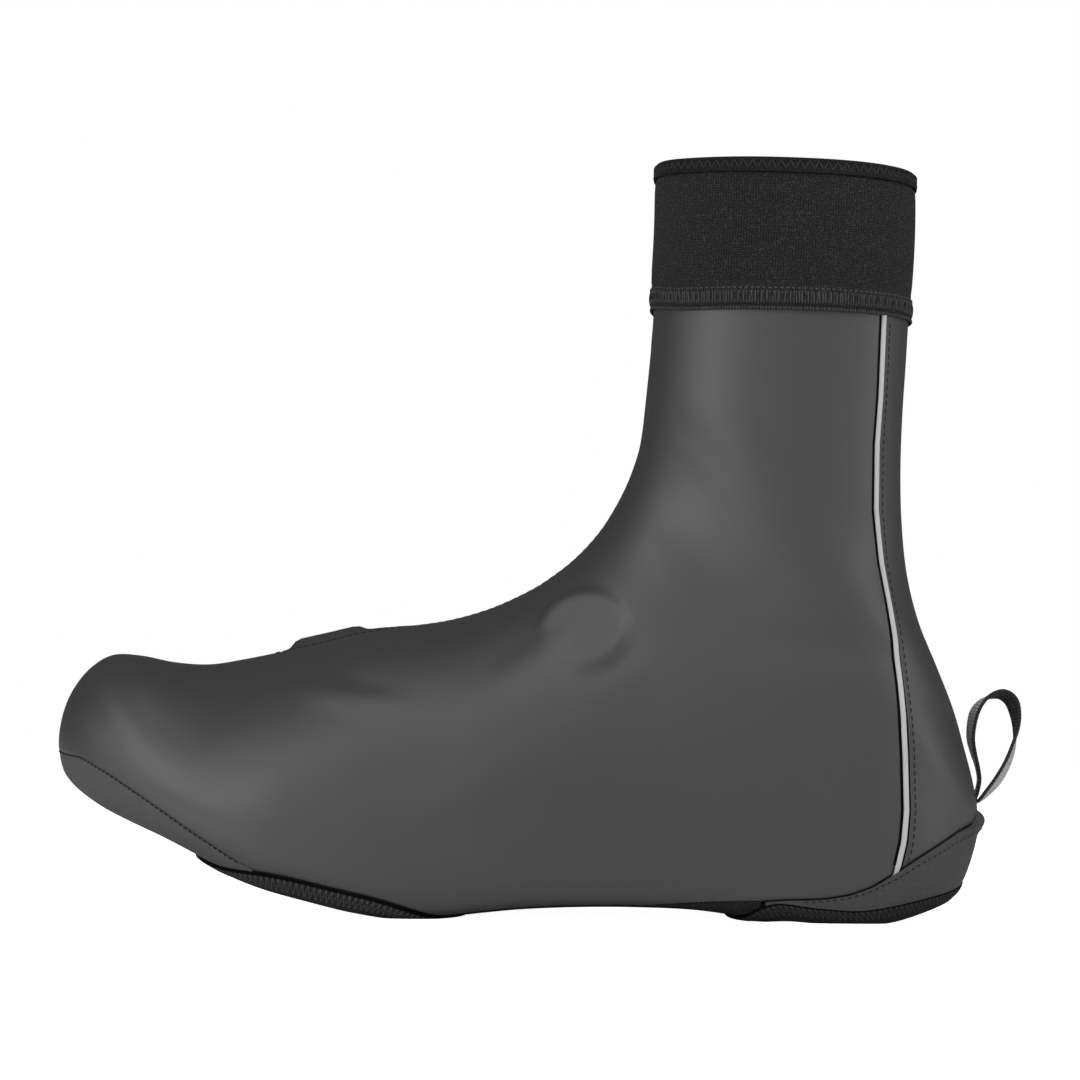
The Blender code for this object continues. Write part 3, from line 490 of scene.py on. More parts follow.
class EdgePoint(NamedTuple):
    """A point of an opening's side: a length along the bottom line, and a share of the half width."""

    length: float
    share: float


@dataclass(frozen=True)
class Opening:
    """A rounded outline underneath, in length along the bottom line and share of the half width."""

    middle: float
    half_length: float
    square: float
    sides: tuple[EdgePoint, ...]
    samples: int = 401

    def side_share(self, length: float) -> float:
        """Share of the outline's sides at a length, before its ends are rounded."""
        return float(np.interp(length, [p.length for p in self.sides], [p.share for p in self.sides]))

    def at_turn(self, turn: float) -> EdgePoint:
        """Length and share at an angle, 0 being the rear and a quarter turn the lateral side."""
        power = 2 / self.square
        reach = math.copysign(abs(math.cos(turn)) ** power, math.cos(turn))
        rounding = math.copysign(abs(math.sin(turn)) ** power, math.sin(turn))
        length = self.middle + self.half_length * reach
        return EdgePoint(length, self.side_share(length) * rounding)

    def share_at(self, length: float) -> float:
        """Half width of the outline at a length, as a share, or 0 outside it."""
        reach = abs(length - self.middle) / self.half_length
        if reach >= 1:
            return 0.0
        return self.side_share(length) * (1 - reach**self.square) ** (1 / self.square)

    def length_at(self, share: float, end: int) -> float:
        """Length where the outline first has a share, seen from its front (-1) or rear (1) end."""
        lengths = self.middle + end * self.half_length * np.linspace(1.0, 0.0, self.samples)
        shares = np.array([self.share_at(length) for length in lengths])
        return float(lengths[int(np.argmax(shares >= min(abs(share), shares.max())))])

    def grown(self, lengthwise: float, share: float) -> "Opening":
        """The same outline made larger by a length and a share."""
        sides = tuple(p._replace(share=max(p.share + share, 0.0)) for p in self.sides)
        return Opening(self.middle, self.half_length + lengthwise, self.square, sides)

    def even_turns(self, first: float, last: float, count: int, width: float) -> np.ndarray:
        """Angles that lie evenly along the outline.

        Args:
            first: The first angle.
            last: The last angle.
            count: How many angles.
            width: Half width of the foot there, in millimetres.

        Returns:
            The angles.
        """
        turns = np.linspace(first, last, 12 * count)
        places = np.array([self.at_turn(turn) for turn in turns]) * np.array([1.0, width])
        length = lengths_along(places)
        return np.interp(np.linspace(0.0, length[-1], count), length, turns)


@dataclass
class Cut:
    """How the outer surface is cut into panels: the seams and the openings underneath."""

    last: Last
    gap: float = 0.06
    seam_gap: float = 0.10
    cleat_middle_x: float = 86.0
    cleat_half_length: float = 44.0
    cleat_half_share: float = 1.03
    cleat_square: float = 3.0
    heel_front_x: float = 209.0
    heel_rear_z: float = 12.6
    heel_square: float = 5.0
    heel_samples: int = 25
    heel_seam_start: float = 16.5
    arch_share: float = 0.80
    arch_first_x: float = 100.0
    arch_last_x: float = 205.0
    piping_first: float = 23.45
    piping_last: float = 37.9
    apex_last: float = 2.0
    apex_samples: int = 201

    @cached_property
    def cleat(self) -> Opening:
        """Outer edge of the tape around the opening under the ball of the foot."""
        middle = self.last.length_of_station(self.last.station_of_x(self.cleat_middle_x))
        side = EdgePoint(middle, self.cleat_half_share)
        return Opening(middle, self.cleat_half_length, self.cleat_square, (side,))

    @cached_property
    def heel(self) -> Opening:
        """Outer edge of the tape around the opening under the heel."""
        stations, places, lengths = self.last.low_line
        front_station = self.last.station_of_x(self.heel_front_x)
        front = self.last.length_of_station(front_station)
        behind = stations > front_station
        rear = float(np.interp(self.heel_rear_z, places[behind, 1], lengths[behind]))
        half = (rear - front) / 2
        sides = []
        for length in np.linspace(front, rear, self.heel_samples):
            station = self.last.station_of_length(length)
            line = self.last.share_below(station, Side.LATERAL, HEEL_TAPE_LINE)
            seam = self.last.share_below(station, Side.LATERAL, HEEL_SEAM)
            sides.append(EdgePoint(float(length), min(line, seam)))
        return Opening(front + half, half, self.heel_square, tuple(sides))

    @cached_property
    def cleat_width(self) -> float:
        """Half width of the foot at the front opening."""
        return self.last.section(Station.CLEAT).lateral

    @cached_property
    def heel_width(self) -> float:
        """Half width of the foot at the heel opening."""
        return self.last.section(Station.HEEL).lateral

    @cached_property
    def cleat_seam(self) -> Opening:
        """Edge of the panels around the front opening."""
        return self.cleat.grown(self.seam_gap, 1.5 * self.gap / self.cleat_width)

    @cached_property
    def heel_seam(self) -> Opening:
        """Edge of the panels around the heel opening."""
        return self.heel.grown(self.seam_gap, 1.5 * self.gap / self.heel_width)

    @cached_property
    def apex(self) -> float:
        """Station where the toe seam starts, in front of the toe."""
        trial = np.linspace(0.0, self.apex_last, self.apex_samples)
        return float(max(s for s in trial if self.edge_share(s, Side.LATERAL) == 0.0))

    def edge_share(self, station: float, side: Side) -> float:
        """Where the upper ends on one side of a section, as a share of the half width from the bottom."""
        if station >= Station.HEEL_BACK:
            return 0.0
        low_x = self.last.section(station).low_x
        length = self.last.length_of_station(station)
        shares = [self.cleat_seam.share_at(length)]
        if low_x < TOE_SEAM[-1].x:
            shares.append(self.last.share_below(station, side, TOE_SEAM))
        if self.arch_first_x < low_x < self.arch_last_x:
            shares.append(self.arch_share)
        if station > self.heel_seam_start:
            shares.append(self.last.share_below(station, side, HEEL_SEAM))
            shares.append(self.heel_seam.share_at(length))
        return max(shares)

    def meeting_station(self, first: float, last: float, side: Side, edge: Opening) -> float:
        """Station where the toe seam meets an opening's outline on one side."""
        trial = np.linspace(first, last, self.apex_samples)
        over = [
            self.last.share_below(s, side, TOE_SEAM) - edge.share_at(self.last.length_of_station(s))
            for s in trial
        ]
        return float(trial[int(np.argmin(np.abs(over)))])

    def piping_way(self, side: Side, steps: int) -> tuple[np.ndarray, np.ndarray]:
        """Stations of the piping from the heel guard to the cuff, and its places around the girth."""
        stations = np.linspace(self.piping_first, self.piping_last, steps)
        return stations, np.array([self.piping_place(station, side) for station in stations])

    def piping_place(self, station: float, side: Side) -> float:
        """Where the piping crosses a section, around its girth."""
        points, girth = self.last.half_curve(self.last.section(station), side)
        line = np.interp(points[:, 2], [p.z for p in PIPING_LINE], [p.x for p in PIPING_LINE])
        place = self.last.crossing(line - points[:, 0], girth)
        return side.value * (1 - place / girth[-1])


@dataclass
class WornForm:
    """What lifts or folds the fabric: the closures of the shoe inside, and the creases."""

    last: Last
    disc_x: float = 163.5
    disc_z: float = 88.4
    disc_radius: float = 15.6
    disc_edge: float = 4.4
    disc_rise: float = 0.45
    disc_lean: tuple[float, float, float] = (-0.085, 0.0, -0.055)
    strap_front_x: float = 71.0
    strap_rear_x: float = 97.5
    strap_first_y: float = 0.0
    strap_last_y: float = 25.0
    strap_ramp: float = 4.5
    strap_rear_ramp: float = 4.5
    strap_rise: float = 1.9
    tail_length: float = 18.0
    tail_rise: float = 1.1
    creases: tuple[Crease, ...] = CREASES
    search_samples: int = 301

    @cached_property
    def disc_place(self) -> tuple[np.ndarray, np.ndarray]:
        """Middle of the round closure on the lateral side, and the direction that its plate faces."""
        level = (SeamPoint(0.0, self.disc_z), SeamPoint(SECTIONS[-1].low_x, self.disc_z))
        stations = np.linspace(Station.HEEL_BACK / 3, Station.HEEL_BACK, self.search_samples)
        shares = [self.last.share_below(station, Side.LATERAL, level) for station in stations]
        around = [self.last.around_of_share(*place) for place in zip(stations, shares)]
        points, normals = self.last.at(stations, np.array(around))
        nearest = int(np.argmin(np.abs(points[:, 0] - self.disc_x)))
        return points[nearest], unit(normals[nearest] + np.array(self.disc_lean))

    def rise(self, points: np.ndarray) -> np.ndarray:
        """How far the fabric stands off the last at some of its points."""
        x, y, z = points.T
        middle, facing = self.disc_place
        depth = (points - middle) @ facing
        distance = np.linalg.norm(points - middle - depth[:, None] * facing, axis=1)
        plate = np.maximum(self.disc_rise - depth, 0.0)
        held = smooth_step((self.disc_radius - distance) / self.disc_edge)
        across = np.minimum(y - self.strap_first_y, self.strap_last_y - y) / self.strap_ramp
        inside = np.minimum((x - self.strap_front_x) / self.strap_ramp, across)
        strap = smooth_step(np.minimum(inside, (self.strap_rear_x - x) / self.strap_rear_ramp))
        tail = smooth_step(np.minimum(inside, (self.strap_rear_x + self.tail_length - x) / self.tail_length))
        raised = self.strap_rise * strap + self.tail_rise * tail
        total = np.where(z > self.disc_z / 2, raised, 0.0)
        for crease in self.creases:
            slope = math.radians(crease.slope_deg)
            along = (x - crease.x) * math.cos(slope) + (z - crease.z) * math.sin(slope)
            across = (z - crease.z) * math.cos(slope) - (x - crease.x) * math.sin(slope)
            shape = np.exp(-((along / crease.along) ** 2) - (across / crease.across) ** 2)
            on_side = smooth_step(0.5 - y * crease.side.value / 10)
            total = total + crease.height * shape * on_side
        near = np.abs(depth) < self.disc_radius
        return np.where(near, total * (1 - held) + plate * held, total)


class Workbench:
    """Modelling steps that the pieces share, done with Blender's own tools."""

    merge_mm = 0.01
    smooth_angle_deg = 40

    @staticmethod
    def in_frame(points: np.ndarray) -> np.ndarray:
        """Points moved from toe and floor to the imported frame, in metres."""
        return (points + np.array([TOE_TIP_X, MIDDLE_Y, 0.0])) * METRES_PER_MM

    @staticmethod
    def laid(name: str, points: np.ndarray) -> bpy.types.Object:
        """The new primitive, named, with its vertices moved onto points in millimetres, in their order."""
        piece = bpy.context.object
        piece.name = name
        piece.data.name = name
        flat = Workbench.in_frame(points.reshape(-1, 3)).astype(np.float32)
        piece.data.vertices.foreach_set("co", flat.reshape(-1))
        piece.data.update()
        return piece

    @staticmethod
    def grid(name: str, points: np.ndarray) -> bpy.types.Object:
        """A grid primitive laid over rows and columns of points.

        Args:
            name: Name of the piece.
            points: Points by row and column, in millimetres.

        Returns:
            The piece, with a UV map in metres.
        """
        rows, columns = points.shape[:2]
        bpy.ops.object.select_all(action="DESELECT")
        bpy.ops.mesh.primitive_grid_add(x_subdivisions=columns - 1, y_subdivisions=rows - 1, size=1.0)
        piece = Workbench.laid(name, points)
        steps_across = np.linalg.norm(np.diff(points, axis=1), axis=2).mean(axis=0)
        steps_along = np.linalg.norm(np.diff(points, axis=0), axis=2).mean(axis=1)
        across_along = np.meshgrid(running_sum(steps_across), running_sum(steps_along))
        places = np.stack(across_along, axis=2).reshape(-1, 2) * METRES_PER_MM
        corners = np.empty(len(piece.data.loops), np.int32)
        piece.data.loops.foreach_get("vertex_index", corners)
        piece.data.uv_layers[0].data.foreach_set("uv", places[corners].astype(np.float32).reshape(-1))
        return piece

    @staticmethod
    def ring(name: str, points: np.ndarray) -> bpy.types.Object:
        """A torus primitive laid over a closed profile carried around a closed way.

        Args:
            name: Name of the piece.
            points: Points by step and profile corner, in millimetres.

        Returns:
            The piece, with a UV map in metres, along the way and then along the profile.
        """
        steps, corners = points.shape[:2]
        bpy.ops.object.select_all(action="DESELECT")
        bpy.ops.mesh.primitive_torus_add(major_segments=steps, minor_segments=corners, generate_uvs=True)
        piece = Workbench.laid(name, points)
        along_steps = np.linalg.norm(np.roll(points, -1, axis=0) - points, axis=2).max(axis=1)
        across_steps = np.linalg.norm(np.roll(points, -1, axis=1) - points, axis=2).mean(axis=0)
        along = running_sum(along_steps) * METRES_PER_MM
        across = running_sum(across_steps) * METRES_PER_MM
        step, corner = np.meshgrid(np.arange(steps), np.arange(corners), indexing="ij")
        places = np.empty((steps, corners, 4, 2), np.float32)
        for index, (more_step, more_corner) in enumerate(((0, 0), (1, 0), (1, 1), (0, 1))):
            places[:, :, index, 0] = along[step + more_step]
            places[:, :, index, 1] = across[corner + more_corner]
        piece.data.uv_layers[0].data.foreach_set("uv", places.reshape(-1))
        Workbench.in_edit_mode(piece, lambda: bpy.ops.mesh.normals_make_consistent(inside=False))
        return piece

    @staticmethod
    def pick(piece: bpy.types.Object) -> None:
        """Selects one piece alone and makes it the active one."""
        bpy.ops.object.select_all(action="DESELECT")
        piece.select_set(True)
        bpy.context.view_layer.objects.active = piece

    @staticmethod
    def in_edit_mode(piece: bpy.types.Object, *steps: Callable[[], Any]) -> None:
        """Runs modelling steps on the whole mesh of a piece in edit mode."""
        Workbench.pick(piece)
        bpy.ops.object.mode_set(mode="EDIT")
        bpy.ops.mesh.select_all(action="SELECT")
        for step in steps:
            step()
        bpy.ops.object.mode_set(mode="OBJECT")

    @staticmethod
    def merge(piece: bpy.types.Object) -> None:
        """Joins the points of a mesh that lie in one place."""
        limit = Workbench.merge_mm * METRES_PER_MM
        Workbench.in_edit_mode(piece, lambda: bpy.ops.mesh.remove_doubles(threshold=limit))

    @staticmethod
    def face_outwards(piece: bpy.types.Object, outward: np.ndarray) -> None:
        """Turns a sheet's faces so that they look along the outward directions of its vertices."""
        normals = np.empty(len(piece.data.vertices) * 3, np.float32)
        piece.data.vertices.foreach_get("normal", normals)
        if float((normals.reshape(-1, 3) * outward.reshape(-1, 3)).sum()) < 0:
            Workbench.in_edit_mode(piece, bpy.ops.mesh.flip_normals)

    @staticmethod
    def mark(piece: bpy.types.Object, name: str, values: np.ndarray) -> None:
        """Keeps a number on each vertex for the piece's material to read."""
        layer = piece.data.attributes.new(name, "FLOAT", "POINT")
        layer.data.foreach_set("value", values.astype(np.float32).reshape(-1))

    @staticmethod
    def thicken(piece: bpy.types.Object, wall: float, inner_slot: int = 0) -> None:
        """Gives a sheet its wall, inwards, with its rim closed.

        Args:
            piece: The sheet, its faces looking outwards.
            wall: Thickness in millimetres.
            inner_slot: How many material slots further the inner side takes its finish.
        """
        Workbench.pick(piece)
        bpy.ops.object.modifier_add(type="SOLIDIFY")
        solidify = piece.modifiers[-1]
        solidify.thickness = wall * METRES_PER_MM
        solidify.offset = -1.0
        solidify.use_rim = True
        solidify.material_offset = inner_slot
        bpy.ops.object.modifier_apply(modifier=solidify.name)

    @staticmethod
    def smooth(piece: bpy.types.Object) -> None:
        """Shades a piece smooth except at its sharp edges."""
        Workbench.pick(piece)
        bpy.ops.object.shade_smooth_by_angle(angle=math.radians(Workbench.smooth_angle_deg))

    @staticmethod
    def rounded(corners: np.ndarray, rounds: int = 2) -> np.ndarray:
        """A closed profile with its corners cut to curves."""
        for _ in range(rounds):
            following = np.roll(corners, -1, axis=0)
            near = 0.75 * corners + 0.25 * following
            far = 0.25 * corners + 0.75 * following
            corners = np.stack([near, far], axis=1).reshape(-1, corners.shape[-1])
        return corners

    @staticmethod
    def hand_over(piece: bpy.types.Object, slot: str, *nodes: str) -> None:
        """Seats a finished piece on the frame and hides the solids that it stands for."""
        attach(piece, BODY)
        if nodes:
            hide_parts(*nodes)
        log.info("%s: %d faces", piece.name, len(piece.data.polygons))


class NodeTree:
    """Short names for the usual steps of building a shader tree."""

    def __init__(self, tree: bpy.types.NodeTree) -> None:
        """Starts on a material's or a group's tree."""
        self.tree = tree

    def node(self, kind: str, inputs: dict[Any, Any] | None = None, **settings: Any) -> bpy.types.Node:
        """Adds a node.

        Args:
            kind: The node's type name, without its ShaderNode prefix.
            inputs: Values or sockets by input name or number.
            **settings: The node's own options.

        Returns:
            The node.
        """
        made = self.tree.nodes.new("ShaderNode" + kind)
        for name, value in settings.items():
            setattr(made, name, value)
        for key, value in (inputs or {}).items():
            if isinstance(value, bpy.types.NodeSocket):
                self.tree.links.new(value, made.inputs[key])
            else:
                made.inputs[key].default_value = value
        return made

    def math(self, operation: str, first: Any, second: Any = 0.0, third: Any = 0.0) -> bpy.types.NodeSocket:
        """A sum, product or other step on numbers."""
        return self.node("Math", {0: first, 1: second, 2: third}, operation=operation).outputs[0]

    def rise(self, value: Any, low: float, high: float) -> bpy.types.NodeSocket:
        """A mask that goes softly from 0 at low to 1 at high."""
        inputs = {"Value": value, "From Min": low, "From Max": high}
        return self.node("MapRange", inputs, interpolation_type="SMOOTHSTEP").outputs["Result"]

    def between(self, value: Any, low: float, high: float, edge: float) -> bpy.types.NodeSocket:
        """A mask that is 1 between two values, with soft edges."""
        inside = self.rise(value, low - edge, low + edge)
        outside = self.rise(value, high + edge, high - edge)
        return self.math("MULTIPLY", inside, outside)

    def attribute(self, name: str) -> bpy.types.NodeSocket:
        """A number kept on the mesh."""
        return self.node("Attribute", attribute_name=name).outputs["Fac"]

    def coordinates(self, name: str) -> bpy.types.NodeSocket:
        """Object or UV coordinates."""
        return self.node("TexCoord").outputs[name]

    def noise(self, vector: Any, scale: float, detail: float = 2.0) -> bpy.types.NodeSocket:
        """Soft noise around one half."""
        return self.node("TexNoise", {"Vector": vector, "Scale": scale, "Detail": detail}).outputs["Fac"]

    def mix(self, factor: Any, first: Any, second: Any) -> bpy.types.NodeSocket:
        """A blend of two colours."""
        made = self.node("Mix", {"Factor": factor}, data_type="RGBA")
        for name, value in (("A", first), ("B", second)):
            socket = [s for s in made.inputs if s.name == name and s.type == "RGBA"][0]
            if isinstance(value, bpy.types.NodeSocket):
                self.tree.links.new(value, socket)
            else:
                socket.default_value = (*value, 1.0)
        return [s for s in made.outputs if s.type == "RGBA"][0]

    def bump(self, height: Any, depth_mm: float) -> bpy.types.NodeSocket:
        """Normals from a height, whose full range is a depth in millimetres."""
        inputs = {"Height": height, "Distance": depth_mm * METRES_PER_MM, "Strength": 1.0}
        return self.node("Bump", inputs).outputs["Normal"]


class Groups:
    """The effects that several finishes use, each built once as a node group."""

    @cached_property
    def knit(self) -> bpy.types.NodeTree:
        """Rows of small loops: legs that slant up to the middle of each wale."""
        tree = self.start("knit_loops", {"Vector": "NodeSocketVector", "Wale": "NodeSocketFloat"})
        shade = NodeTree(tree)
        entry = shade.node("SeparateXYZ", {0: self.entry(tree, "Vector")})
        wale = self.entry(tree, "Wale")
        across = shade.math("DIVIDE", entry.outputs["X"], wale)
        up = shade.math("DIVIDE", entry.outputs["Y"], shade.math("MULTIPLY", wale, 0.8))
        leg = shade.math("ABSOLUTE", shade.math("SUBTRACT", shade.math("FRACT", across), 0.5))
        slant = shade.math("FRACT", shade.math("ADD", up, leg))
        row = shade.math("ABSOLUTE", shade.math("SUBTRACT", slant, 0.5))
        ridge = shade.math("SUBTRACT", 1.0, shade.math("MULTIPLY", shade.math("MULTIPLY", leg, leg), 4.0))
        height = shade.math("MULTIPLY", ridge, shade.math("MULTIPLY", row, 2.0))
        return self.end(tree, {"Height": height})

    @cached_property
    def grain(self) -> bpy.types.NodeTree:
        """Fine grain and broad mottling of a fabric's face."""
        tree = self.start("fabric_grain", {"Vector": "NodeSocketVector", "Scale": "NodeSocketFloat"})
        shade = NodeTree(tree)
        vector = self.entry(tree, "Vector")
        fine = shade.noise(vector, 0.0, 3.0)
        tree.links.new(self.entry(tree, "Scale"), fine.node.inputs["Scale"])
        return self.end(tree, {"Grain": fine, "Mottle": shade.noise(vector, 55.0, 4.0)})

    @staticmethod
    def start(name: str, inputs: dict[str, str]) -> bpy.types.NodeTree:
        """A new group with named inputs."""
        tree = bpy.data.node_groups.new(name, "ShaderNodeTree")
        for label, kind in inputs.items():
            tree.interface.new_socket(name=label, in_out="INPUT", socket_type=kind)
        tree.nodes.new("NodeGroupInput")
        return tree

    @staticmethod
    def entry(tree: bpy.types.NodeTree, label: str) -> bpy.types.NodeSocket:
        """A named input inside a group."""
        return next(n for n in tree.nodes if n.bl_idname == "NodeGroupInput").outputs[label]

    @staticmethod
    def end(tree: bpy.types.NodeTree, outputs: dict[str, bpy.types.NodeSocket]) -> bpy.types.NodeTree:
        """The group with its named outputs joined up."""
        leave = tree.nodes.new("NodeGroupOutput")
        for label, socket in outputs.items():
            tree.interface.new_socket(name=label, in_out="OUTPUT", socket_type="NodeSocketFloat")
            tree.links.new(socket, leave.inputs[label])
        return tree


@dataclass(frozen=True)
class Finish:
    """The plain values of a finish; each kind of finish adds its own pattern."""

    name: str
    slot: str
    colour: tuple[float, float, float]
    roughness: float
    specular: float = 0.35
    sheen: float = 0.0
    grains_per_metre: float = 1800.0
    mottle: float = 0.10
    uneven: float = 0.10
    depth_mm: float = 0.03

    def tinted(self, amount: float) -> tuple[float, float, float]:
        """The colour made lighter or darker."""
        return tuple(channel * amount for channel in self.colour)

    def material(self, groups: Groups) -> bpy.types.Material:
        """Builds the material.

        Args:
            groups: The shared node groups.

        Returns:
            The material, with this finish's pattern.
        """
        material = bpy.data.materials.new(self.name)
        material.use_nodes = True
        shader = material.node_tree.nodes["Principled BSDF"]
        shader.inputs["Base Color"].default_value = (*self.colour, 1.0)
        shader.inputs["Roughness"].default_value = self.roughness
        shader.inputs["Specular IOR Level"].default_value = self.specular
        shader.inputs["Sheen Weight"].default_value = self.sheen
        shade = NodeTree(material.node_tree)
        colour, roughness, normal = self.pattern(shade, groups)
        for label, socket in (("Base Color", colour), ("Roughness", roughness), ("Normal", normal)):
            material.node_tree.links.new(socket, shader.inputs[label])
        return material

    def grain(self, shade: NodeTree, groups: Groups) -> bpy.types.Node:
        """The shared grain, at this finish's scale."""
        inputs = {"Vector": shade.coordinates("Object"), "Scale": self.grains_per_metre}
        return shade.node("Group", inputs, node_tree=groups.grain)

    def mottled(self, shade: NodeTree, grain: bpy.types.Node) -> bpy.types.NodeSocket:
        """The colour, a little lighter and darker in broad places."""
        darker = self.tinted(1 - self.mottle)
        return shade.mix(grain.outputs["Mottle"], darker, self.tinted(1 + self.mottle))

    def gloss(self, shade: NodeTree, grain: bpy.types.Node) -> bpy.types.NodeSocket:
        """The roughness, which the grain makes a little uneven."""
        low = self.roughness - self.uneven / 2
        return shade.math("MULTIPLY_ADD", grain.outputs["Grain"], self.uneven, low)

    def pattern(self, shade: NodeTree, groups: Groups) -> tuple[bpy.types.NodeSocket, ...]:
        """Colour, roughness and normal over the surface: here only fine grain."""
        grain = self.grain(shade, groups)
        normal = shade.bump(grain.outputs["Grain"], self.depth_mm)
        return self.mottled(shade, grain), self.gloss(shade, grain), normal


@dataclass(frozen=True)
class CoatedFabric(Finish):
    """Smooth coated fabric with grooves beside the piping and along its front seam, their shade painted dark.
    """

    grains_per_metre: float = 2600.0
    uneven: float = 0.22
    grain_tint: float = 1.04
    disc_radius: float = 12.6
    disc_edge: float = 1.2
    disc_highlight_tint: float = 1.12
    groove_front: float = -1.9
    groove_rear: float = 1.05
    groove_edge: float = 0.16
    strip_place: float = 2.1
    strip_half: float = 0.08
    strip_edge: float = 0.14
    strip_share: float = 0.35
    seam_half: float = 0.28
    seam_edge: float = 0.2
    seam_share: float = 0.6
    rim_outer: float = 0.05
    rim_inner: float = 0.42
    groove_shade_share: float = 0.9
    groove_shade_tint: float = 0.12
    dark_rougher: float = 0.45
    dark_depth: float = -12.0

    def grooves(self, shade: NodeTree) -> bpy.types.NodeSocket:
        """A mask of the grooves, whose shade is painted dark: beside the piping, along the front seam and at
        the edges.
        """
        beside = shade.attribute("piping")
        piping = shade.between(beside, self.groove_front, self.groove_rear, self.groove_edge)
        strip_low = self.strip_place - self.strip_half
        strip = shade.between(beside, strip_low, self.strip_place + self.strip_half, self.strip_edge)
        strip = shade.math("MULTIPLY", strip, self.strip_share)
        front = shade.between(shade.attribute("front"), -self.seam_half, self.seam_half, self.seam_edge)
        front = shade.math("MULTIPLY", front, self.seam_share)
        edge = shade.rise(shade.attribute("edge"), self.rim_inner, self.rim_outer)
        groove = shade.math("MAXIMUM", piping, shade.math("MAXIMUM", front, edge))
        return shade.math("MAXIMUM", groove, strip)

    def pattern(self, shade: NodeTree, groups: Groups) -> tuple[bpy.types.NodeSocket, ...]:
        """Colour, roughness and normal: fine grain, soft mottling, and painted shade in the grooves at the
        seams.
        """
        grain = self.grain(shade, groups)
        base = shade.mix(grain.outputs["Grain"], self.mottled(shade, grain), self.tinted(self.grain_tint))
        # Painted highlight: the plate over the dial is tinted lighter, standing in for the light that it
        # catches.
        disc = shade.attribute("disc")
        disc_lit = shade.rise(disc, self.disc_radius + self.disc_edge, self.disc_radius - self.disc_edge)
        base = shade.mix(disc_lit, base, self.tinted(self.disc_highlight_tint))
        groove = self.grooves(shade)
        # Painted shade: the grooves, the line behind the piping and the upper's rolled edge are darkened in
        # colour.
        dark = shade.math("MULTIPLY", groove, self.groove_shade_share)
        colour = shade.mix(dark, base, self.tinted(self.groove_shade_tint))
        roughness = shade.math("MULTIPLY_ADD", groove, self.dark_rougher, self.gloss(shade, grain))
        height = shade.math("MULTIPLY_ADD", groove, self.dark_depth, grain.outputs["Grain"])
        return colour, roughness, shade.bump(height, self.depth_mm)


@dataclass(frozen=True)
class WovenFabric(Finish):
    """Close woven fabric with a light and dark fleck."""

    grains_per_metre: float = 1500.0
    mottle: float = 0.15
    depth_mm: float = 0.16
    fleck_tint: float = 1.5
    fleck_low: float = 0.52
    fleck_high: float = 0.68
    fleck_share: float = 0.55

    def pattern(self, shade: NodeTree, groups: Groups) -> tuple[bpy.types.NodeSocket, ...]:
        """Colour, roughness and normal: flecked yarns and a fine rough face."""
        grain = self.grain(shade, groups)
        light = shade.rise(grain.outputs["Grain"], self.fleck_low, self.fleck_high)
        fleck = shade.math("MULTIPLY", light, self.fleck_share)
        colour = shade.mix(fleck, self.mottled(shade, grain), self.tinted(self.fleck_tint))
        return colour, self.gloss(shade, grain), shade.bump(grain.outputs["Grain"], self.depth_mm)


@dataclass(frozen=True)
class KnitFabric(Finish):
    """Knitted fabric, with its loops along the piece's own UV map."""

    grains_per_metre: float = 1900.0
    depth_mm: float = 0.40
    wale_mm: float = 0.75
    gap_tint: float = 0.20
    loop_tint: float = 1.85
    lint_low: float = 0.52
    lint_high: float = 0.66
    lint_share: float = 0.6
    lint_tint: float = 2.6
    fuzz: float = 0.5

    def pattern(self, shade: NodeTree, groups: Groups) -> tuple[bpy.types.NodeSocket, ...]:
        """Colour, roughness and normal: rows of loops with painted shade in the gaps between them, and lint
        in places.
        """
        grain = self.grain(shade, groups)
        inputs = {"Vector": shade.coordinates("UV"), "Wale": self.wale_mm * METRES_PER_MM}
        loops = shade.node("Group", inputs, node_tree=groups.knit).outputs["Height"]
        # Painted shade: the gaps between the loops are tinted darker than the loops.
        base = shade.mix(loops, self.tinted(self.gap_tint), self.tinted(self.loop_tint))
        lint = shade.rise(grain.outputs["Grain"], self.lint_low, self.lint_high)
        lint = shade.math("MULTIPLY", lint, self.lint_share)
        colour = shade.mix(lint, base, self.tinted(self.lint_tint))
        height = shade.math("MULTIPLY_ADD", grain.outputs["Grain"], self.fuzz, loops)
        return colour, self.gloss(shade, grain), shade.bump(height, self.depth_mm)


@dataclass(frozen=True)
class RibbedWebbing(Finish):
    """Webbing with ribs across its length."""

    grains_per_metre: float = 2200.0
    depth_mm: float = 0.3
    rib_mm: float = 1.15
    gap_tint: float = 0.45
    rib_tint: float = 1.15
    worn_share: float = 0.4

    def pattern(self, shade: NodeTree, groups: Groups) -> tuple[bpy.types.NodeSocket, ...]:
        """Colour, roughness and normal: round ribs, with painted shade in the gaps between them."""
        grain = self.grain(shade, groups)
        length = shade.node("SeparateXYZ", {0: shade.coordinates("UV")}).outputs["X"]
        turn = shade.math("MULTIPLY", length, 2 * math.pi / (self.rib_mm * METRES_PER_MM))
        rib = shade.math("MULTIPLY_ADD", shade.math("SINE", turn), 0.5, 0.5)
        # Painted shade: the gaps between the ribs are tinted darker.
        base = shade.mix(rib, self.tinted(self.gap_tint), self.tinted(self.rib_tint))
        worn = shade.math("MULTIPLY", grain.outputs["Grain"], self.worn_share)
        colour = shade.mix(worn, base, self.colour)
        return colour, self.gloss(shade, grain), shade.bump(rib, self.depth_mm)


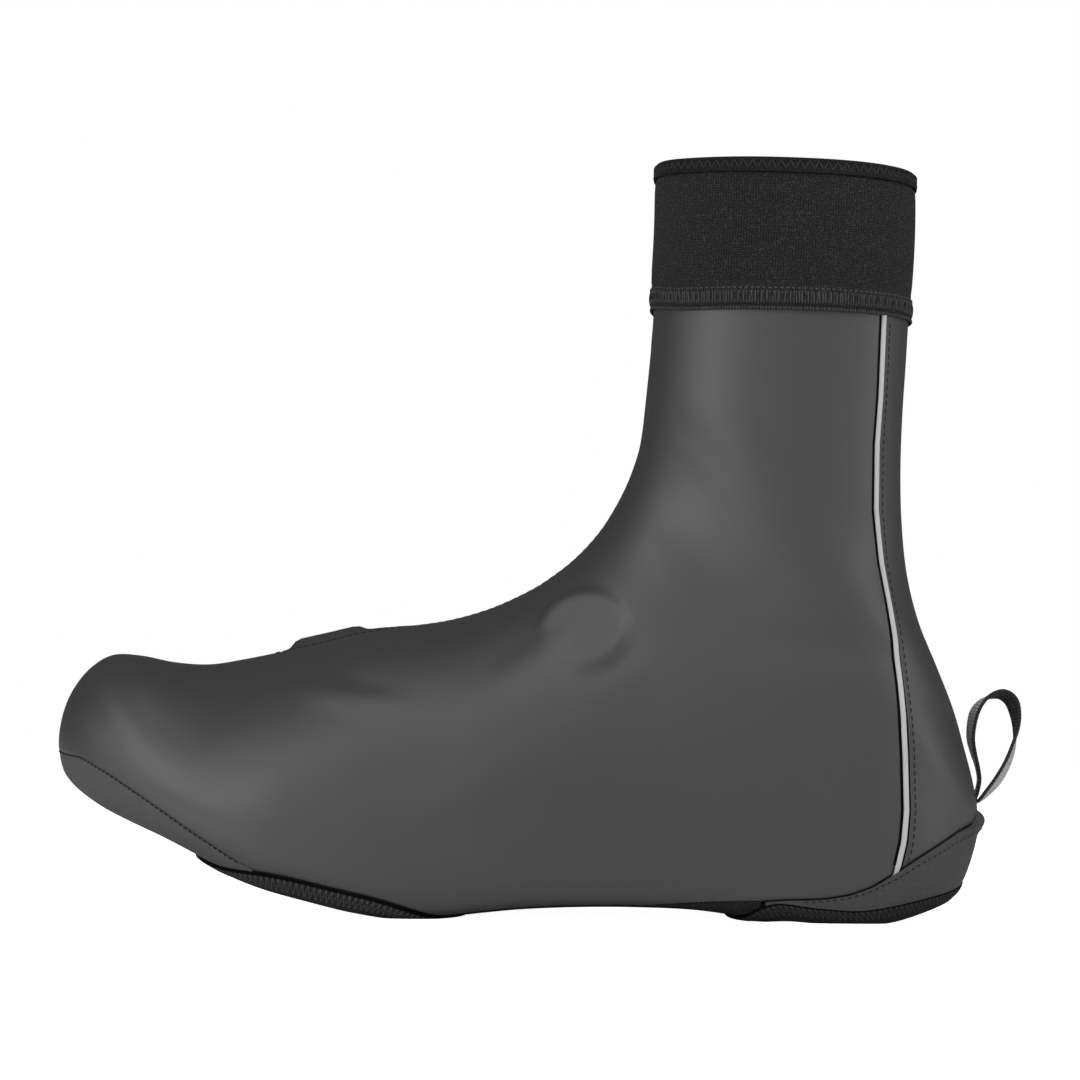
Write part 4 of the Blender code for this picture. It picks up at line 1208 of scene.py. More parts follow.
COATED = CoatedFabric("coated_fabric", "coated_fabric", (0.0480, 0.0480, 0.0484), 0.47, specular=0.95)
LINING = WovenFabric("brushed_lining", "coated_fabric", (0.030, 0.030, 0.031), 0.90, sheen=0.2)
TOE_GUARD = WovenFabric("toe_guard_fabric", "guard_fabric", (0.104, 0.104, 0.105), 0.74, fleck_tint=1.3)
GUARD = WovenFabric("guard_fabric", "guard_fabric", (0.074, 0.074, 0.075), 0.74)
ELASTIC = KnitFabric("elastic_fabric", "elastic_fabric", (0.020, 0.020, 0.0205), 0.85, wale_mm=1.1)
KNIT = KnitFabric("cuff_knit", "cuff_knit", (0.0345, 0.0345, 0.0350), 0.85, 0.15, 0.05, wale_mm=0.85)
TAPE = KnitFabric("binding_tape", "binding_tape", (0.0175, 0.0175, 0.0180), 0.80, wale_mm=0.6)
CLEAT_TAPE = KnitFabric("cleat_tape", "binding_tape", (0.0320, 0.0320, 0.0325), 0.80, wale_mm=0.6)
PIPING = Finish("reflective_cord", "reflective_cord", (0.68, 0.68, 0.685), 0.42, specular=0.4)
# Near-black finish, painted shadow: the seams' shade on the strips beside the piping and on the tape faces
# under the upper's edge.
SEAM_SHADOW = Finish("painted_seam_shadow", "binding_tape", (0.004, 0.004, 0.004), 0.95, specular=0.05)
WEBBING_DARK = RibbedWebbing("loop_webbing_back", "loop_webbing", (0.042, 0.042, 0.043), 0.75)
# The outer face is lighter webbing; its colour is also raised as painted light, for the lamps that the heel
# shades off it.
WEBBING_LIGHT = RibbedWebbing(
    "loop_webbing", "loop_webbing", (0.50, 0.50, 0.50), 0.50, depth_mm=0.08, gap_tint=0.85
)
# Near black: dark thread of the stitch rows, and painted shade of the needle holes and stitch gaps on the
# cuff.
DARK_THREAD_AND_SHADE = Finish("dark_thread_and_shade", "binding_tape", (0.010, 0.010, 0.011), 0.60)
THREAD_SOFT = Finish("soft_thread", "binding_tape", (0.034, 0.034, 0.036), 0.60)
THREAD_GREY = Finish("grey_thread", "binding_tape", (0.075, 0.075, 0.078), 0.55)


class Wardrobe:
    """The finishes as materials, each made when a piece first asks for it."""

    def __init__(self) -> None:
        """Starts with the shared node groups and no material."""
        self.groups = Groups()
        self.made: dict[str, bpy.types.Material] = {}

    def dress(self, piece: bpy.types.Object, *finishes: Finish) -> None:
        """Gives a piece its finishes, in the order of its material slots."""
        for finish in finishes:
            if finish.name not in self.made:
                self.made[finish.name] = finish.material(self.groups)
            piece.data.materials.append(self.made[finish.name])


@dataclass
class Line:
    """A line on the fabric, as points and outward directions, for sewing along."""

    points: np.ndarray
    normals: np.ndarray

    def resampled(self, distances: np.ndarray) -> "Line":
        """The line at distances along it."""
        length = lengths_along(self.points)
        points = np.stack([np.interp(distances, length, column) for column in self.points.T], axis=1)
        normals = np.stack([np.interp(distances, length, column) for column in self.normals.T], axis=1)
        return Line(points, unit(normals))

    def dropped(self, piece: bpy.types.Object) -> "Line":
        """The line moved to the nearest places on a piece."""
        mesh = piece.data
        tree = BVHTree.FromPolygons([v.co for v in mesh.vertices], [f.vertices for f in mesh.polygons])
        hits = [tree.find_nearest(Vector(point)) for point in Workbench.in_frame(self.points)]
        points = np.array([hit[0] for hit in hits]) / METRES_PER_MM - np.array([TOE_TIP_X, MIDDLE_Y, 0.0])
        return Line(points, np.array([hit[1] for hit in hits]))

    def across(self) -> np.ndarray:
        """Directions across the line, in the fabric."""
        return unit(np.cross(self.normals, np.gradient(self.points, axis=0)))

    def distance_across(self, points: np.ndarray) -> np.ndarray:
        """How far points lie beside the line, positive where its across directions go."""
        across = self.across()
        result = np.empty(len(points))
        for start in range(0, len(points), 2000):
            part = points[start : start + 2000]
            nearest = np.argmin(np.linalg.norm(part[:, None] - self.points[None], axis=2), axis=1)
            apart = part - self.points[nearest]
            result[start : start + 2000] = (apart * across[nearest]).sum(axis=1)
        return result

    @property
    def length(self) -> float:
        """Length of the line."""
        return float(np.linalg.norm(np.diff(self.points, axis=0), axis=1).sum())

    def stitches(self, length: float, pitch: float, lift: float) -> tuple[np.ndarray, ...]:
        """Places of running stitches.

        Args:
            length: Length of a stitch.
            pitch: Distance from one stitch to the next.
            lift: Height of the thread's middle over the line.

        Returns:
            Starts, ends and outward directions.
        """
        first = np.arange(0.0, self.length - length, pitch)
        start = self.resampled(first)
        end = self.resampled(first + length)
        return start.points + start.normals * lift, end.points + end.normals * lift, start.normals


@dataclass
class Upper:
    """The hollow upper: closed at the toe, open at the collar and underneath."""

    last: Last
    cut: Cut
    form: WornForm
    wall: float = 1.8
    columns: int = 140
    foot_rows: int = 150
    shaft_rows: int = 60
    edge_offsets: tuple[float, ...] = (0.0, 0.35, 0.9, 1.7)
    edge_roll: float = 0.45
    edge_width: float = 1.3
    seam_offset: float = 2.2
    piping_zone_x: float = 230.0
    piping_steps: int = 360

    def stations(self) -> np.ndarray:
        """Stations of the rows from the toe point to the collar."""
        toe = np.linspace(0.0, self.cut.apex, 8)
        first = np.linspace(self.cut.apex, 4.0, 26)[1:]
        foot = np.linspace(4.0, Station.HEEL_BACK, self.foot_rows)[1:]
        shaft = np.linspace(Station.HEEL_BACK, Station.COLLAR, self.shaft_rows)[1:]
        return np.concatenate([toe, first, foot, shaft])

    def row_places(self, station: float) -> tuple[np.ndarray, np.ndarray]:
        """Places around one section, and their distance from the upper's edge.

        Args:
            station: The section's station.

        Returns:
            The places from the lateral to the medial edge, and the distances in millimetres.
        """
        section = self.last.section(station)
        girths = {side: max(self.last.girth(station, side), self.cut.gap) for side in Side}
        cuts = {}
        for side in Side:
            share = self.cut.edge_share(station, side)
            cuts[side] = share * section.width(side) + self.cut.gap / 2 if share > 0 else 0.0
        reach = min(girths[side] - cuts[side] for side in Side)
        offsets = np.array(self.edge_offsets) * min(1.0, reach / 8)
        lateral = 1 - (cuts[Side.LATERAL] + offsets) / girths[Side.LATERAL]
        medial = -(1 - (cuts[Side.MEDIAL] + offsets) / girths[Side.MEDIAL])
        inner = np.linspace(lateral[-1], medial[-1], self.columns - 2 * len(offsets) + 2)
        around = np.concatenate([lateral[:-1], inner, medial[:-1][::-1]])
        distance = np.where(
            around >= 0,
            (1 - around) * girths[Side.LATERAL] - cuts[Side.LATERAL],
            (1 + around) * girths[Side.MEDIAL] - cuts[Side.MEDIAL],
        )
        if max(cuts.values()) == 0.0:
            distance = np.full(len(around), FAR_AWAY)
        return around, distance

    def front_distance(self, station: float, around: np.ndarray) -> np.ndarray:
        """Distances of a section's places from the front seam, in millimetres."""
        lateral = self.last.girth(station, Side.LATERAL)
        medial = self.last.girth(station, Side.MEDIAL)
        away = FAR_AWAY if station < Station.TOE_GUARD else 0.0
        return around * np.where(around >= 0, lateral, medial) - self.seam_offset + away

    def piping_distance(self, points: np.ndarray) -> np.ndarray:
        """Distances of points from the piping on their side, positive behind it."""
        distance = np.full(len(points), -FAR_AWAY)
        for side in Side:
            chosen = (points[:, 1] * side.value < 0) & (points[:, 0] > self.piping_zone_x)
            way = Line(*self.last.at(*self.cut.piping_way(side, self.piping_steps)))
            distance[chosen] = way.distance_across(points[chosen]) * -side.value
        return distance

    def build(self, wardrobe: Wardrobe) -> bpy.types.Object:
        """Models and dresses the upper.

        Args:
            wardrobe: The finishes.

        Returns:
            The piece.
        """
        stations = self.stations()
        points, normals, edges, fronts = [], [], [], []
        for station in stations:
            around, distance = self.row_places(station)
            row = self.last.row(station, around)
            normal = self.last.normal_row(station, around)
            roll = self.edge_roll * np.clip(1 - distance / self.edge_width, 0.0, 1.0) ** 2
            points.append(row + normal * (self.form.rise(row) - roll)[:, None])
            normals.append(normal)
            edges.append(distance)
            fronts.append(self.front_distance(station, around))
        points = np.array(points)
        flat = points.reshape(-1, 3)
        piece = Workbench.grid("upper_skin", points)
        Workbench.mark(piece, "edge", np.array(edges))
        Workbench.mark(piece, "front", np.array(fronts))
        Workbench.mark(piece, "piping", self.piping_distance(flat))
        Workbench.mark(piece, "disc", np.linalg.norm(flat - self.form.disc_place[0], axis=1))
        Workbench.face_outwards(piece, np.array(normals))
        Workbench.merge(piece)
        wardrobe.dress(piece, COATED, LINING)
        Workbench.thicken(piece, self.wall, inner_slot=1)
        Workbench.smooth(piece)
        Workbench.hand_over(piece, COATED.slot, "upper")
        return piece


class Places(NamedTuple):
    """A grid of places on the last, and how far the outside of a panel stands off it."""

    stations: np.ndarray
    shares: np.ndarray
    heights: np.ndarray


@dataclass
class Panels:
    """The panels underneath: toe guard, heel guard and the elastic panel under the arch."""

    last: Last
    cut: Cut
    wall: float = 1.8
    sole_wall: float = 1.5
    guard_end: float = 0.998
    toe_start: float = 0.1
    toe_crowding: float = 1.7
    toe_meet_first: float = 6.0
    toe_meet_last: float = 11.0
    toe_inset: float = 0.07
    toe_tuck: float = 0.4
    heel_start: float = 0.05
    heel_crowding: float = 1.8
    heel_spread: float = 1.5
    heel_gap: float = 0.10
    heel_tip_x: float = 222.0
    heel_proud: float = 0.6
    lip_rise: float = 1.7
    lip_height: float = 3.0
    lip_share: float = 0.25
    lip_reach: float = 0.40
    lip_steps: int = 6
    sole_front_gap: float = 0.12
    sole_rear_x: float = 221.0
    sole_rounds: int = 12
    long_steps: int = 97
    short_steps: int = 25

    def surface(self, places: Places) -> tuple[np.ndarray, np.ndarray]:
        """Points of a panel's outside over a grid of places, and their outward directions."""
        pairs = zip(places.stations.flat, places.shares.flat)
        around = np.array([self.last.around_of_share(station, share) for station, share in pairs])
        points, normals = self.last.at(places.stations, around.reshape(places.stations.shape))
        return points + normals * places.heights[:, :, None], normals

    def lay(self, name: str, places: Places, wall: float) -> bpy.types.Object:
        """A panel over a grid of places, with its wall.

        Args:
            name: Name of the piece.
            places: The places and the heights of its outside.
            wall: Thickness in millimetres.

        Returns:
            The piece, not yet dressed.
        """
        points, normals = self.surface(places)
        piece = Workbench.grid(name, points)
        Workbench.face_outwards(piece, normals)
        Workbench.merge(piece)
        Workbench.thicken(piece, wall)
        Workbench.smooth(piece)
        return piece

    def toe_places(self) -> Places:
        """Places of the toe guard, between the toe seam and the front opening."""
        width = self.last.section(Station.TOE_GUARD).lateral
        edge = self.cut.cleat.grown(self.cut.seam_gap, self.cut.gap / width)
        start = self.cut.apex + self.toe_start
        meets = {s: self.cut.meeting_station(self.toe_meet_first, self.toe_meet_last, s, edge) for s in Side}
        ways = np.linspace(-self.guard_end, self.guard_end, self.long_steps)
        parts = np.linspace(0.0, 1.0, self.short_steps)
        stations = np.empty((len(ways), len(parts)))
        shares = np.empty_like(stations)
        for index, way in enumerate(ways):
            side = Side.LATERAL if way >= 0 else Side.MEDIAL
            station = start + (meets[side] - start) * abs(way) ** self.toe_crowding
            half = self.last.section(station).width(side)
            seam = self.last.share_below(station, side, TOE_SEAM) + self.toe_tuck / half
            end_share = way * edge.share_at(self.last.length_of_station(meets[side]))
            end_station = self.last.station_of_length(edge.length_at(end_share, -1))
            stations[index] = station + (end_station - station) * parts
            shares[index] = side.value * max(seam, 0.0) * (1 - parts) + end_share * parts
        return Places(stations, shares, np.full(stations.shape, -self.toe_inset))

    def heel_places(self) -> Places:
        """Places of the heel guard, with the lip of its top edge at the back."""
        edge = self.cut.heel.grown(self.heel_gap, self.heel_gap / self.cut.heel_width)
        start = Station.HEEL_BACK - self.heel_start
        tip_length = self.last.length_of_station(self.last.station_of_x(self.heel_tip_x))
        tip_reach = (tip_length - edge.middle) / edge.half_length
        tip_turn = math.acos(math.copysign(abs(tip_reach) ** (edge.square / 2), tip_reach))
        tip = self.last.station_of_length(tip_length)
        half_way = self.long_steps // 2 + 1
        turns = edge.even_turns(0.0, tip_turn, half_way, self.cut.heel_width)
        low = self.last.section(Station.HEEL_BACK)
        high = self.last.section(Station.HEEL_BACK + 1)
        spacing = math.hypot(high.low_x - low.low_x, high.low_z - low.low_z)
        ways = np.linspace(-self.guard_end, self.guard_end, self.long_steps)
        parts = np.linspace(0.0, 1.0, self.short_steps) ** self.heel_spread
        lip_parts = np.linspace(1.0, 0.0, self.lip_steps + 1)[:-1]
        over_parts = np.concatenate([lip_parts, np.zeros(len(parts))])
        parts = np.concatenate([np.zeros(self.lip_steps), parts])
        stations = np.empty((len(ways), len(parts)))
        shares = np.empty_like(stations)
        heights = np.empty_like(stations)
        for index, way in enumerate(ways):
            side = Side.LATERAL if way >= 0 else Side.MEDIAL
            station = start - (start - tip) * abs(way) ** self.heel_crowding
            half = self.last.section(station).width(side)
            below = self.last.share_below(station, side, HEEL_SEAM)
            seam = side.value * max(below - self.cut.gap / half, 0.0)
            turn = np.interp(abs(way), np.linspace(0.0, 1.0, half_way), turns)
            length, end_share = edge.at_turn(side.value * turn)
            end_station = self.last.station_of_length(length)
            back = 2 * smooth_step(1 - abs(way) / self.lip_reach)
            over = self.lip_height / spacing * max(back - 1, 0.0)
            stations[index] = station + (end_station - station) * parts + over * over_parts
            shares[index] = seam + (end_share - seam) * parts
            lip = self.lip_rise * min(back, 1.0) * smooth_step(1 - parts / self.lip_share)
            heights[index] = (self.heel_proud + lip) * (1 - over_parts**2)
        return Places(stations, shares, heights)

    def sole_places(self) -> Places:
        """Places of the elastic panel, between the openings and the upper's edges."""
        front_edge = self.cut.cleat.grown(self.sole_front_gap, 0.0)
        rear_edge = self.cut.heel.grown(self.cut.seam_gap, self.cut.seam_gap / self.cut.heel_width)
        last_length = self.last.length_of_station(self.last.station_of_x(self.sole_rear_x))
        ways = np.linspace(-1.0, 1.0, 2 * self.short_steps - 1)
        parts = np.linspace(0.0, 1.0, self.long_steps // 2)
        stations = np.empty((len(ways), len(parts)))
        shares = np.empty_like(stations)

        def side_share(station: float, side: Side) -> float:
            """Half width of the panel at a station."""
            half = self.last.section(station).width(side)
            return self.cut.edge_share(station, side) - self.cut.seam_gap / half

        for index, way in enumerate(ways):
            side = Side.LATERAL if way >= 0 else Side.MEDIAL
            front = front_edge.middle + front_edge.half_length
            rear = rear_edge.middle - rear_edge.half_length
            for _ in range(self.sole_rounds):
                front_share = abs(way) * side_share(self.last.station_of_length(front), side)
                rear_share = abs(way) * side_share(self.last.station_of_length(rear), side)
                front = (front + front_edge.length_at(front_share, 1)) / 2
                rear = (rear + min(rear_edge.length_at(rear_share, -1), last_length)) / 2
            for row, part in enumerate(parts):
                station = self.last.station_of_length(front + (rear - front) * part)
                stations[index, row] = station
                shares[index, row] = way * side_share(station, side)
        return Places(stations, shares, np.zeros(stations.shape))

    def build(self, wardrobe: Wardrobe) -> None:
        """Models and dresses the three panels.

        Args:
            wardrobe: The finishes.
        """
        toe = self.lay("toe_guard_panel", self.toe_places(), self.wall)
        heel = self.lay("heel_guard_panel", self.heel_places(), self.wall)
        sole = self.lay("arch_panel", self.sole_places(), self.sole_wall)
        for piece, finish, node in (
            (toe, TOE_GUARD, "toe_guard"),
            (heel, GUARD, "heel_guard"),
            (sole, ELASTIC, "sole_panel"),
        ):
            wardrobe.dress(piece, finish)
            Workbench.hand_over(piece, finish.slot, node)


@dataclass
class StitchRun:
    """A run of stitches: one small form of thread, copied along a line into one mesh."""

    name: str
    thread: Finish
    width: float = 0.38
    height: float = 0.26
    segments: int = 6
    rings: int = 5
    bluntness: float = 0.6

    def form(self) -> tuple[np.ndarray, list[tuple[int, ...]]]:
        """One stitch as a blunt spindle along X, from a sphere.

        Returns:
            Its vertices and faces.
        """
        bpy.ops.object.select_all(action="DESELECT")
        bpy.ops.mesh.primitive_uv_sphere_add(segments=self.segments, ring_count=self.rings, radius=1.0)
        ball = bpy.context.object
        vertices = np.array([vertex.co for vertex in ball.data.vertices])[:, [2, 0, 1]]
        vertices[:, 0] = np.sign(vertices[:, 0]) * np.abs(vertices[:, 0]) ** self.bluntness
        faces = [tuple(face.vertices) for face in ball.data.polygons]
        bpy.data.objects.remove(ball, do_unlink=True)
        return vertices, faces

    def build(self, starts: np.ndarray, ends: np.ndarray, normals: np.ndarray, wardrobe: Wardrobe) -> None:
        """Sews the run.

        Args:
            starts: First point of each stitch, in millimetres.
            ends: Last point of each stitch.
            normals: Outward direction of the fabric at each stitch.
            wardrobe: The finishes.
        """
        vertices, faces = self.form()
        middle = (starts + ends) / 2
        along = (ends - starts) / 2
        across = unit(np.cross(normals, along)) * self.width / 2
        up = unit(np.cross(along, across)) * self.height / 2
        points = (
            middle[:, None]
            + vertices[None, :, 0:1] * along[:, None]
            + vertices[None, :, 1:2] * across[:, None]
            + vertices[None, :, 2:3] * up[:, None]
        )
        count = len(vertices)
        copies = [tuple(i + count * n for i in face) for n in range(len(starts)) for face in faces]
        mesh = bpy.data.meshes.new(self.name)
        mesh.from_pydata(Workbench.in_frame(points.reshape(-1, 3)).tolist(), [], copies)
        mesh.update()
        piece = bpy.data.objects.new(self.name, mesh)
        bpy.context.scene.collection.objects.link(piece)
        Workbench.in_edit_mode(piece, lambda: bpy.ops.mesh.normals_make_consistent(inside=False))
        Workbench.smooth(piece)
        wardrobe.dress(piece, self.thread)
        Workbench.hand_over(piece, self.thread.slot)


def zigzag(lines: tuple[Line, ...], pitch: float) -> tuple[np.ndarray, ...]:
    """Places of zigzag stitches to and fro over some lines.

    Args:
        lines: The lines from one side to the other, of about the same length.
        pitch: Length of one zig and zag.

    Returns:
        Starts, ends and outward directions.
    """
    turn = 2 * (len(lines) - 1)
    count = turn * max(int(lines[0].length / pitch), 2)
    shares = np.linspace(0.0, 1.0, count + 1)
    laid = [line.resampled(shares * line.length) for line in lines]
    row = [min(step % turn, turn - step % turn) for step in range(count + 1)]
    normals = np.array([laid[r].normals[step] for step, r in enumerate(row)])
    corners = np.array([laid[r].points[step] for step, r in enumerate(row)])
    return corners[:-1], corners[1:], normals[:-1]


def ladder(low: Line, high: Line, pitch: float, lean: float) -> tuple[np.ndarray, ...]:
    """Places of upright stitches between two closed lines, each leaning a little its own way.

    Args:
        low: The lower line.
        high: The upper line, of about the same length.
        pitch: Distance from one stitch to the next.
        lean: How far the tops lean at most, as a share of the pitch.

    Returns:
        Starts, ends and outward directions.
    """
    count = int(low.length / pitch)
    numbers = np.arange(count)
    leans = lean * np.sin(numbers * 2.3) * np.cos(numbers * 0.7)
    starts = low.resampled((numbers + 0.5) / count * low.length)
    ends = high.resampled((numbers + 0.5 + leans) / count * high.length)
    return starts.points, ends.points, starts.normals


@dataclass
class Tapes:
    """The bindings around the two openings underneath, with their zigzag stitches."""

    last: Last
    cut: Cut
    lengthwise: float = 9.0
    share: float = 0.20
    steps: int = 220
    profile: tuple[TapePoint, ...] = (
        TapePoint(1.14, -2.5),
        TapePoint(1.14, -2.0),
        TapePoint(1.0, -1.9),
        TapePoint(1.0, 0.7),
        TapePoint(0.93, 1.0),
        TapePoint(0.5, 0.95),
        TapePoint(0.15, 0.8),
        TapePoint(0.0, -0.2),
        TapePoint(0.0, -1.3),
        TapePoint(0.2, -1.9),
    )
    stitch_shares: tuple[float, ...] = (0.55, 0.70, 0.84, 0.97)
    stitch_pitch: float = 1.7
    stitch_lift: float = 0.05
    stitch_width: float = 0.40
    stitch_height: float = 0.30
    seam_share: float = 0.955
    seam_floor: float = -0.5

    def place(self, opening: Opening, turn: float, corner: TapePoint) -> tuple[np.ndarray, np.ndarray]:
        """A point of a tape's profile and the outward direction there.

        Args:
            opening: The tape's outer edge.
            turn: Angle around the opening.
            corner: The place in the profile.

        Returns:
            The point, no lower than the floor, and the direction.
        """
        rim = opening.grown(-self.lengthwise, -self.share)
        rim_length, rim_share = rim.at_turn(turn)
        seam_length, seam_share = opening.at_turn(turn)
        station = self.last.station_of_length(rim_length + (seam_length - rim_length) * corner.share)
        around = self.last.around_of_share(station, rim_share + (seam_share - rim_share) * corner.share)
        points, normals = self.last.at(np.array([station]), np.array([around]))
        point = points[0] + normals[0] * corner.height
        point[2] = max(point[2], 0.0)
        return point, normals[0]

    def line(self, opening: Opening, share: float) -> Line:
        """A closed line around a tape at a share of the way from its rim to its seam."""
        turns = opening.even_turns(0.0, 2 * math.pi, self.steps + 1, self.cut.cleat_width)
        outside = sorted(corner for corner in self.profile if corner.height > -self.stitch_lift)
        height = np.interp(share, [c.share for c in outside], [c.height for c in outside]) + self.stitch_lift
        places = [self.place(opening, turn, TapePoint(share, height)) for turn in turns]
        return Line(np.array([p for p, _ in places]), np.array([n for _, n in places]))

    def build(self, wardrobe: Wardrobe) -> None:
        """Models, dresses and sews both tapes.

        Args:
            wardrobe: The finishes.
        """
        corners = [TapePoint(*c) for c in Workbench.rounded(np.array(self.profile))]
        low_ends = [np.minimum(*ends) for ends in zip(corners, corners[1:] + corners[:1])]
        # Faces by the seam to the upper take the second finish, the painted seam shadow.
        sewn = [share > self.seam_share and height > self.seam_floor for share, height in low_ends]
        for name, opening, finish, thread in (
            ("cleat_opening", self.cut.cleat, CLEAT_TAPE, THREAD_GREY),
            ("heel_opening", self.cut.heel, TAPE, THREAD_SOFT),
        ):
            turns = opening.even_turns(0.0, 2 * math.pi, self.steps + 1, self.cut.cleat_width)[:-1]
            points = np.array([[self.place(opening, turn, c)[0] for c in corners] for turn in turns])
            piece = Workbench.ring(f"{name}_tape", points)
            slots = np.tile(np.array(sewn, np.int32), len(turns))
            piece.data.polygons.foreach_set("material_index", slots)
            wardrobe.dress(piece, finish, SEAM_SHADOW)
            Workbench.smooth(piece)
            Workbench.hand_over(piece, finish.slot, f"{name}_binding")
            run = StitchRun(f"{name}_zigzag", thread, self.stitch_width, self.stitch_height)
            lines = tuple(self.line(opening, share) for share in self.stitch_shares)
            run.build(*zigzag(lines, self.stitch_pitch), wardrobe)


class Stitch(Enum):
    """How a row is sewn between its two lines."""

    DASHES = "dashes along them"
    ZIGZAG = "to and fro"
    LADDER = "upright stitches"


class SewnRow(NamedTuple):
    """A row of stitches around the ankle: its lines over a section, its pitch and its thread."""

    name: str
    stitch: Stitch
    section: float
    low: float
    high: float
    offset: float
    pitch: float
    thread: Finish
    width: float


@dataclass
class Cuff:
    """The knitted cuff with its hem over the collar, and the binding of its top edge."""

    last: Last
    wall: float = 2.2
    columns: int = 192
    hem_drop: float = 1.25
    top_front: float = 1.1
    swell_front: float = 0.5
    dash_share: float = 0.6
    ladder_lean: float = 0.4
    thread_height: float = 0.8
    rows: tuple[SewnRow, ...] = (
        SewnRow(
            "cuff_binding_zigzag", Stitch.ZIGZAG, Station.CUFF_TOP, -3.7, -1.0, 0.50, 2.9, THREAD_SOFT, 0.42
        ),
        # Painted shade: dark dots at the zigzag's corners stand for its needle holes.
        SewnRow(
            "cuff_binding_hole_shade_low", Stitch.DASHES, Station.CUFF_TOP, -3.7, -3.7, 0.56, 1.45, DARK_THREAD_AND_SHADE, 0.5
        ),
        SewnRow(
            "cuff_binding_hole_shade_high", Stitch.DASHES, Station.CUFF_TOP,
            -1.0, -1.0, 0.50, 1.45, DARK_THREAD_AND_SHADE, 0.5
        ),
        SewnRow("cuff_hem_dashes", Stitch.DASHES, Station.HEM, 6.5, 6.5, 1.08, 1.8, THREAD_GREY, 0.50),
        SewnRow("cuff_hem_ladder", Stitch.LADDER, Station.HEM, 1.9, 5.8, 1.16, 0.9, THREAD_GREY, 0.44),
        # Painted shade: dark uprights in the gaps between the hem's grey stitches.
        SewnRow("cuff_hem_gap_shade", Stitch.LADDER, Station.HEM, 2.6, 5.2, 1.22, 1.8, DARK_THREAD_AND_SHADE, 0.62),
        SewnRow("cuff_hem_edge", Stitch.LADDER, Station.HEM, -0.05, 0.75, 1.02, 0.9, THREAD_GREY, 0.45),
    )

    @property
    def profile(self) -> tuple[BandPoint, ...]:
        """Closed profile of the cuff, from its hem up the outside and down the inside."""
        return (
            BandPoint(Station.HEM, 0.0, 0.35),
            BandPoint(Station.HEM, -0.2, 0.9),
            BandPoint(Station.HEM, 0.7, 1.2),
            BandPoint(Station.HEM, 1.2, 0.6),
            BandPoint(Station.HEM, 1.7, 1.2),
            BandPoint(Station.HEM, 5.8, 1.2),
            BandPoint(Station.HEM, 7.0, 1.0),
            BandPoint(Station.HEM, 7.5, 0.5),
            BandPoint(Station.COLLAR, 1.2, 0.5),
            BandPoint(Station.CUFF_TOP, -20.0, 0.25),
            BandPoint(Station.CUFF_TOP, -5.4, 0.25),
            BandPoint(Station.CUFF_TOP, -4.9, -0.5),
            BandPoint(Station.CUFF_TOP, -1.2, -0.5),
            BandPoint(Station.CUFF_TOP, -1.2, 0.3 - self.wall),
            BandPoint(Station.COLLAR, 0.4, 0.3 - self.wall),
            BandPoint(Station.COLLAR, 0.4, 0.35),
        )

    @property
    def binding_profile(self) -> tuple[BandPoint, ...]:
        """Closed profile of the binding, folded over the cuff's top edge."""
        return (
            BandPoint(Station.CUFF_TOP, -4.8, 0.45),
            BandPoint(Station.CUFF_TOP, -4.5, 0.65),
            BandPoint(Station.CUFF_TOP, -1.2, 0.45),
            BandPoint(Station.CUFF_TOP, -0.3, 0.1),
            BandPoint(Station.CUFF_TOP, 0.0, -0.5),
            BandPoint(Station.CUFF_TOP, 0.0, -2.4),
            BandPoint(Station.CUFF_TOP, -0.8, -3.0),
            BandPoint(Station.CUFF_TOP, -4.0, -3.0),
            BandPoint(Station.CUFF_TOP, -4.0, -self.wall),
            BandPoint(Station.CUFF_TOP, -0.9, -self.wall),
            BandPoint(Station.CUFF_TOP, -0.9, -0.1),
            BandPoint(Station.CUFF_TOP, -4.2, -0.1),
        )

    def band(self, corner: BandPoint, around: np.ndarray) -> tuple[np.ndarray, np.ndarray]:
        """Points of one corner of a band all around the ankle, and the level outward directions."""
        points = self.last.row(corner.section, around)
        normals = self.last.normal_row(corner.section, around) * np.array([1.0, 1.0, 0.0])
        level = unit(normals)
        front = np.maximum(-level[:, :1], 0.0)
        rise = corner.rise + self.top_front * front**4
        offset = corner.offset + self.swell_front * front**2
        if corner.section == Station.HEM:
            rise = corner.rise - self.hem_drop * (1 - 2 * front**6)
            offset = corner.offset
        return points + level * offset + rise * np.array([0.0, 0.0, 1.0]), level

    def ring(self, name: str, profile: tuple[BandPoint, ...]) -> bpy.types.Object:
        """A band with a rounded profile."""
        around = 1 - 2 * np.arange(self.columns) / self.columns
        corners = np.stack([self.band(corner, around)[0] for corner in profile], axis=0)
        flat = Workbench.rounded(corners.reshape(len(profile), -1))
        return Workbench.ring(name, flat.reshape(len(flat), self.columns, 3).transpose(1, 0, 2))

    def line(self, section: float, rise: float, offset: float) -> Line:
        """A closed line around the ankle."""
        around = np.linspace(1.0, -1.0, self.columns + 1)
        points, normals = self.band(BandPoint(section, rise, offset), around)
        return Line(points, normals)

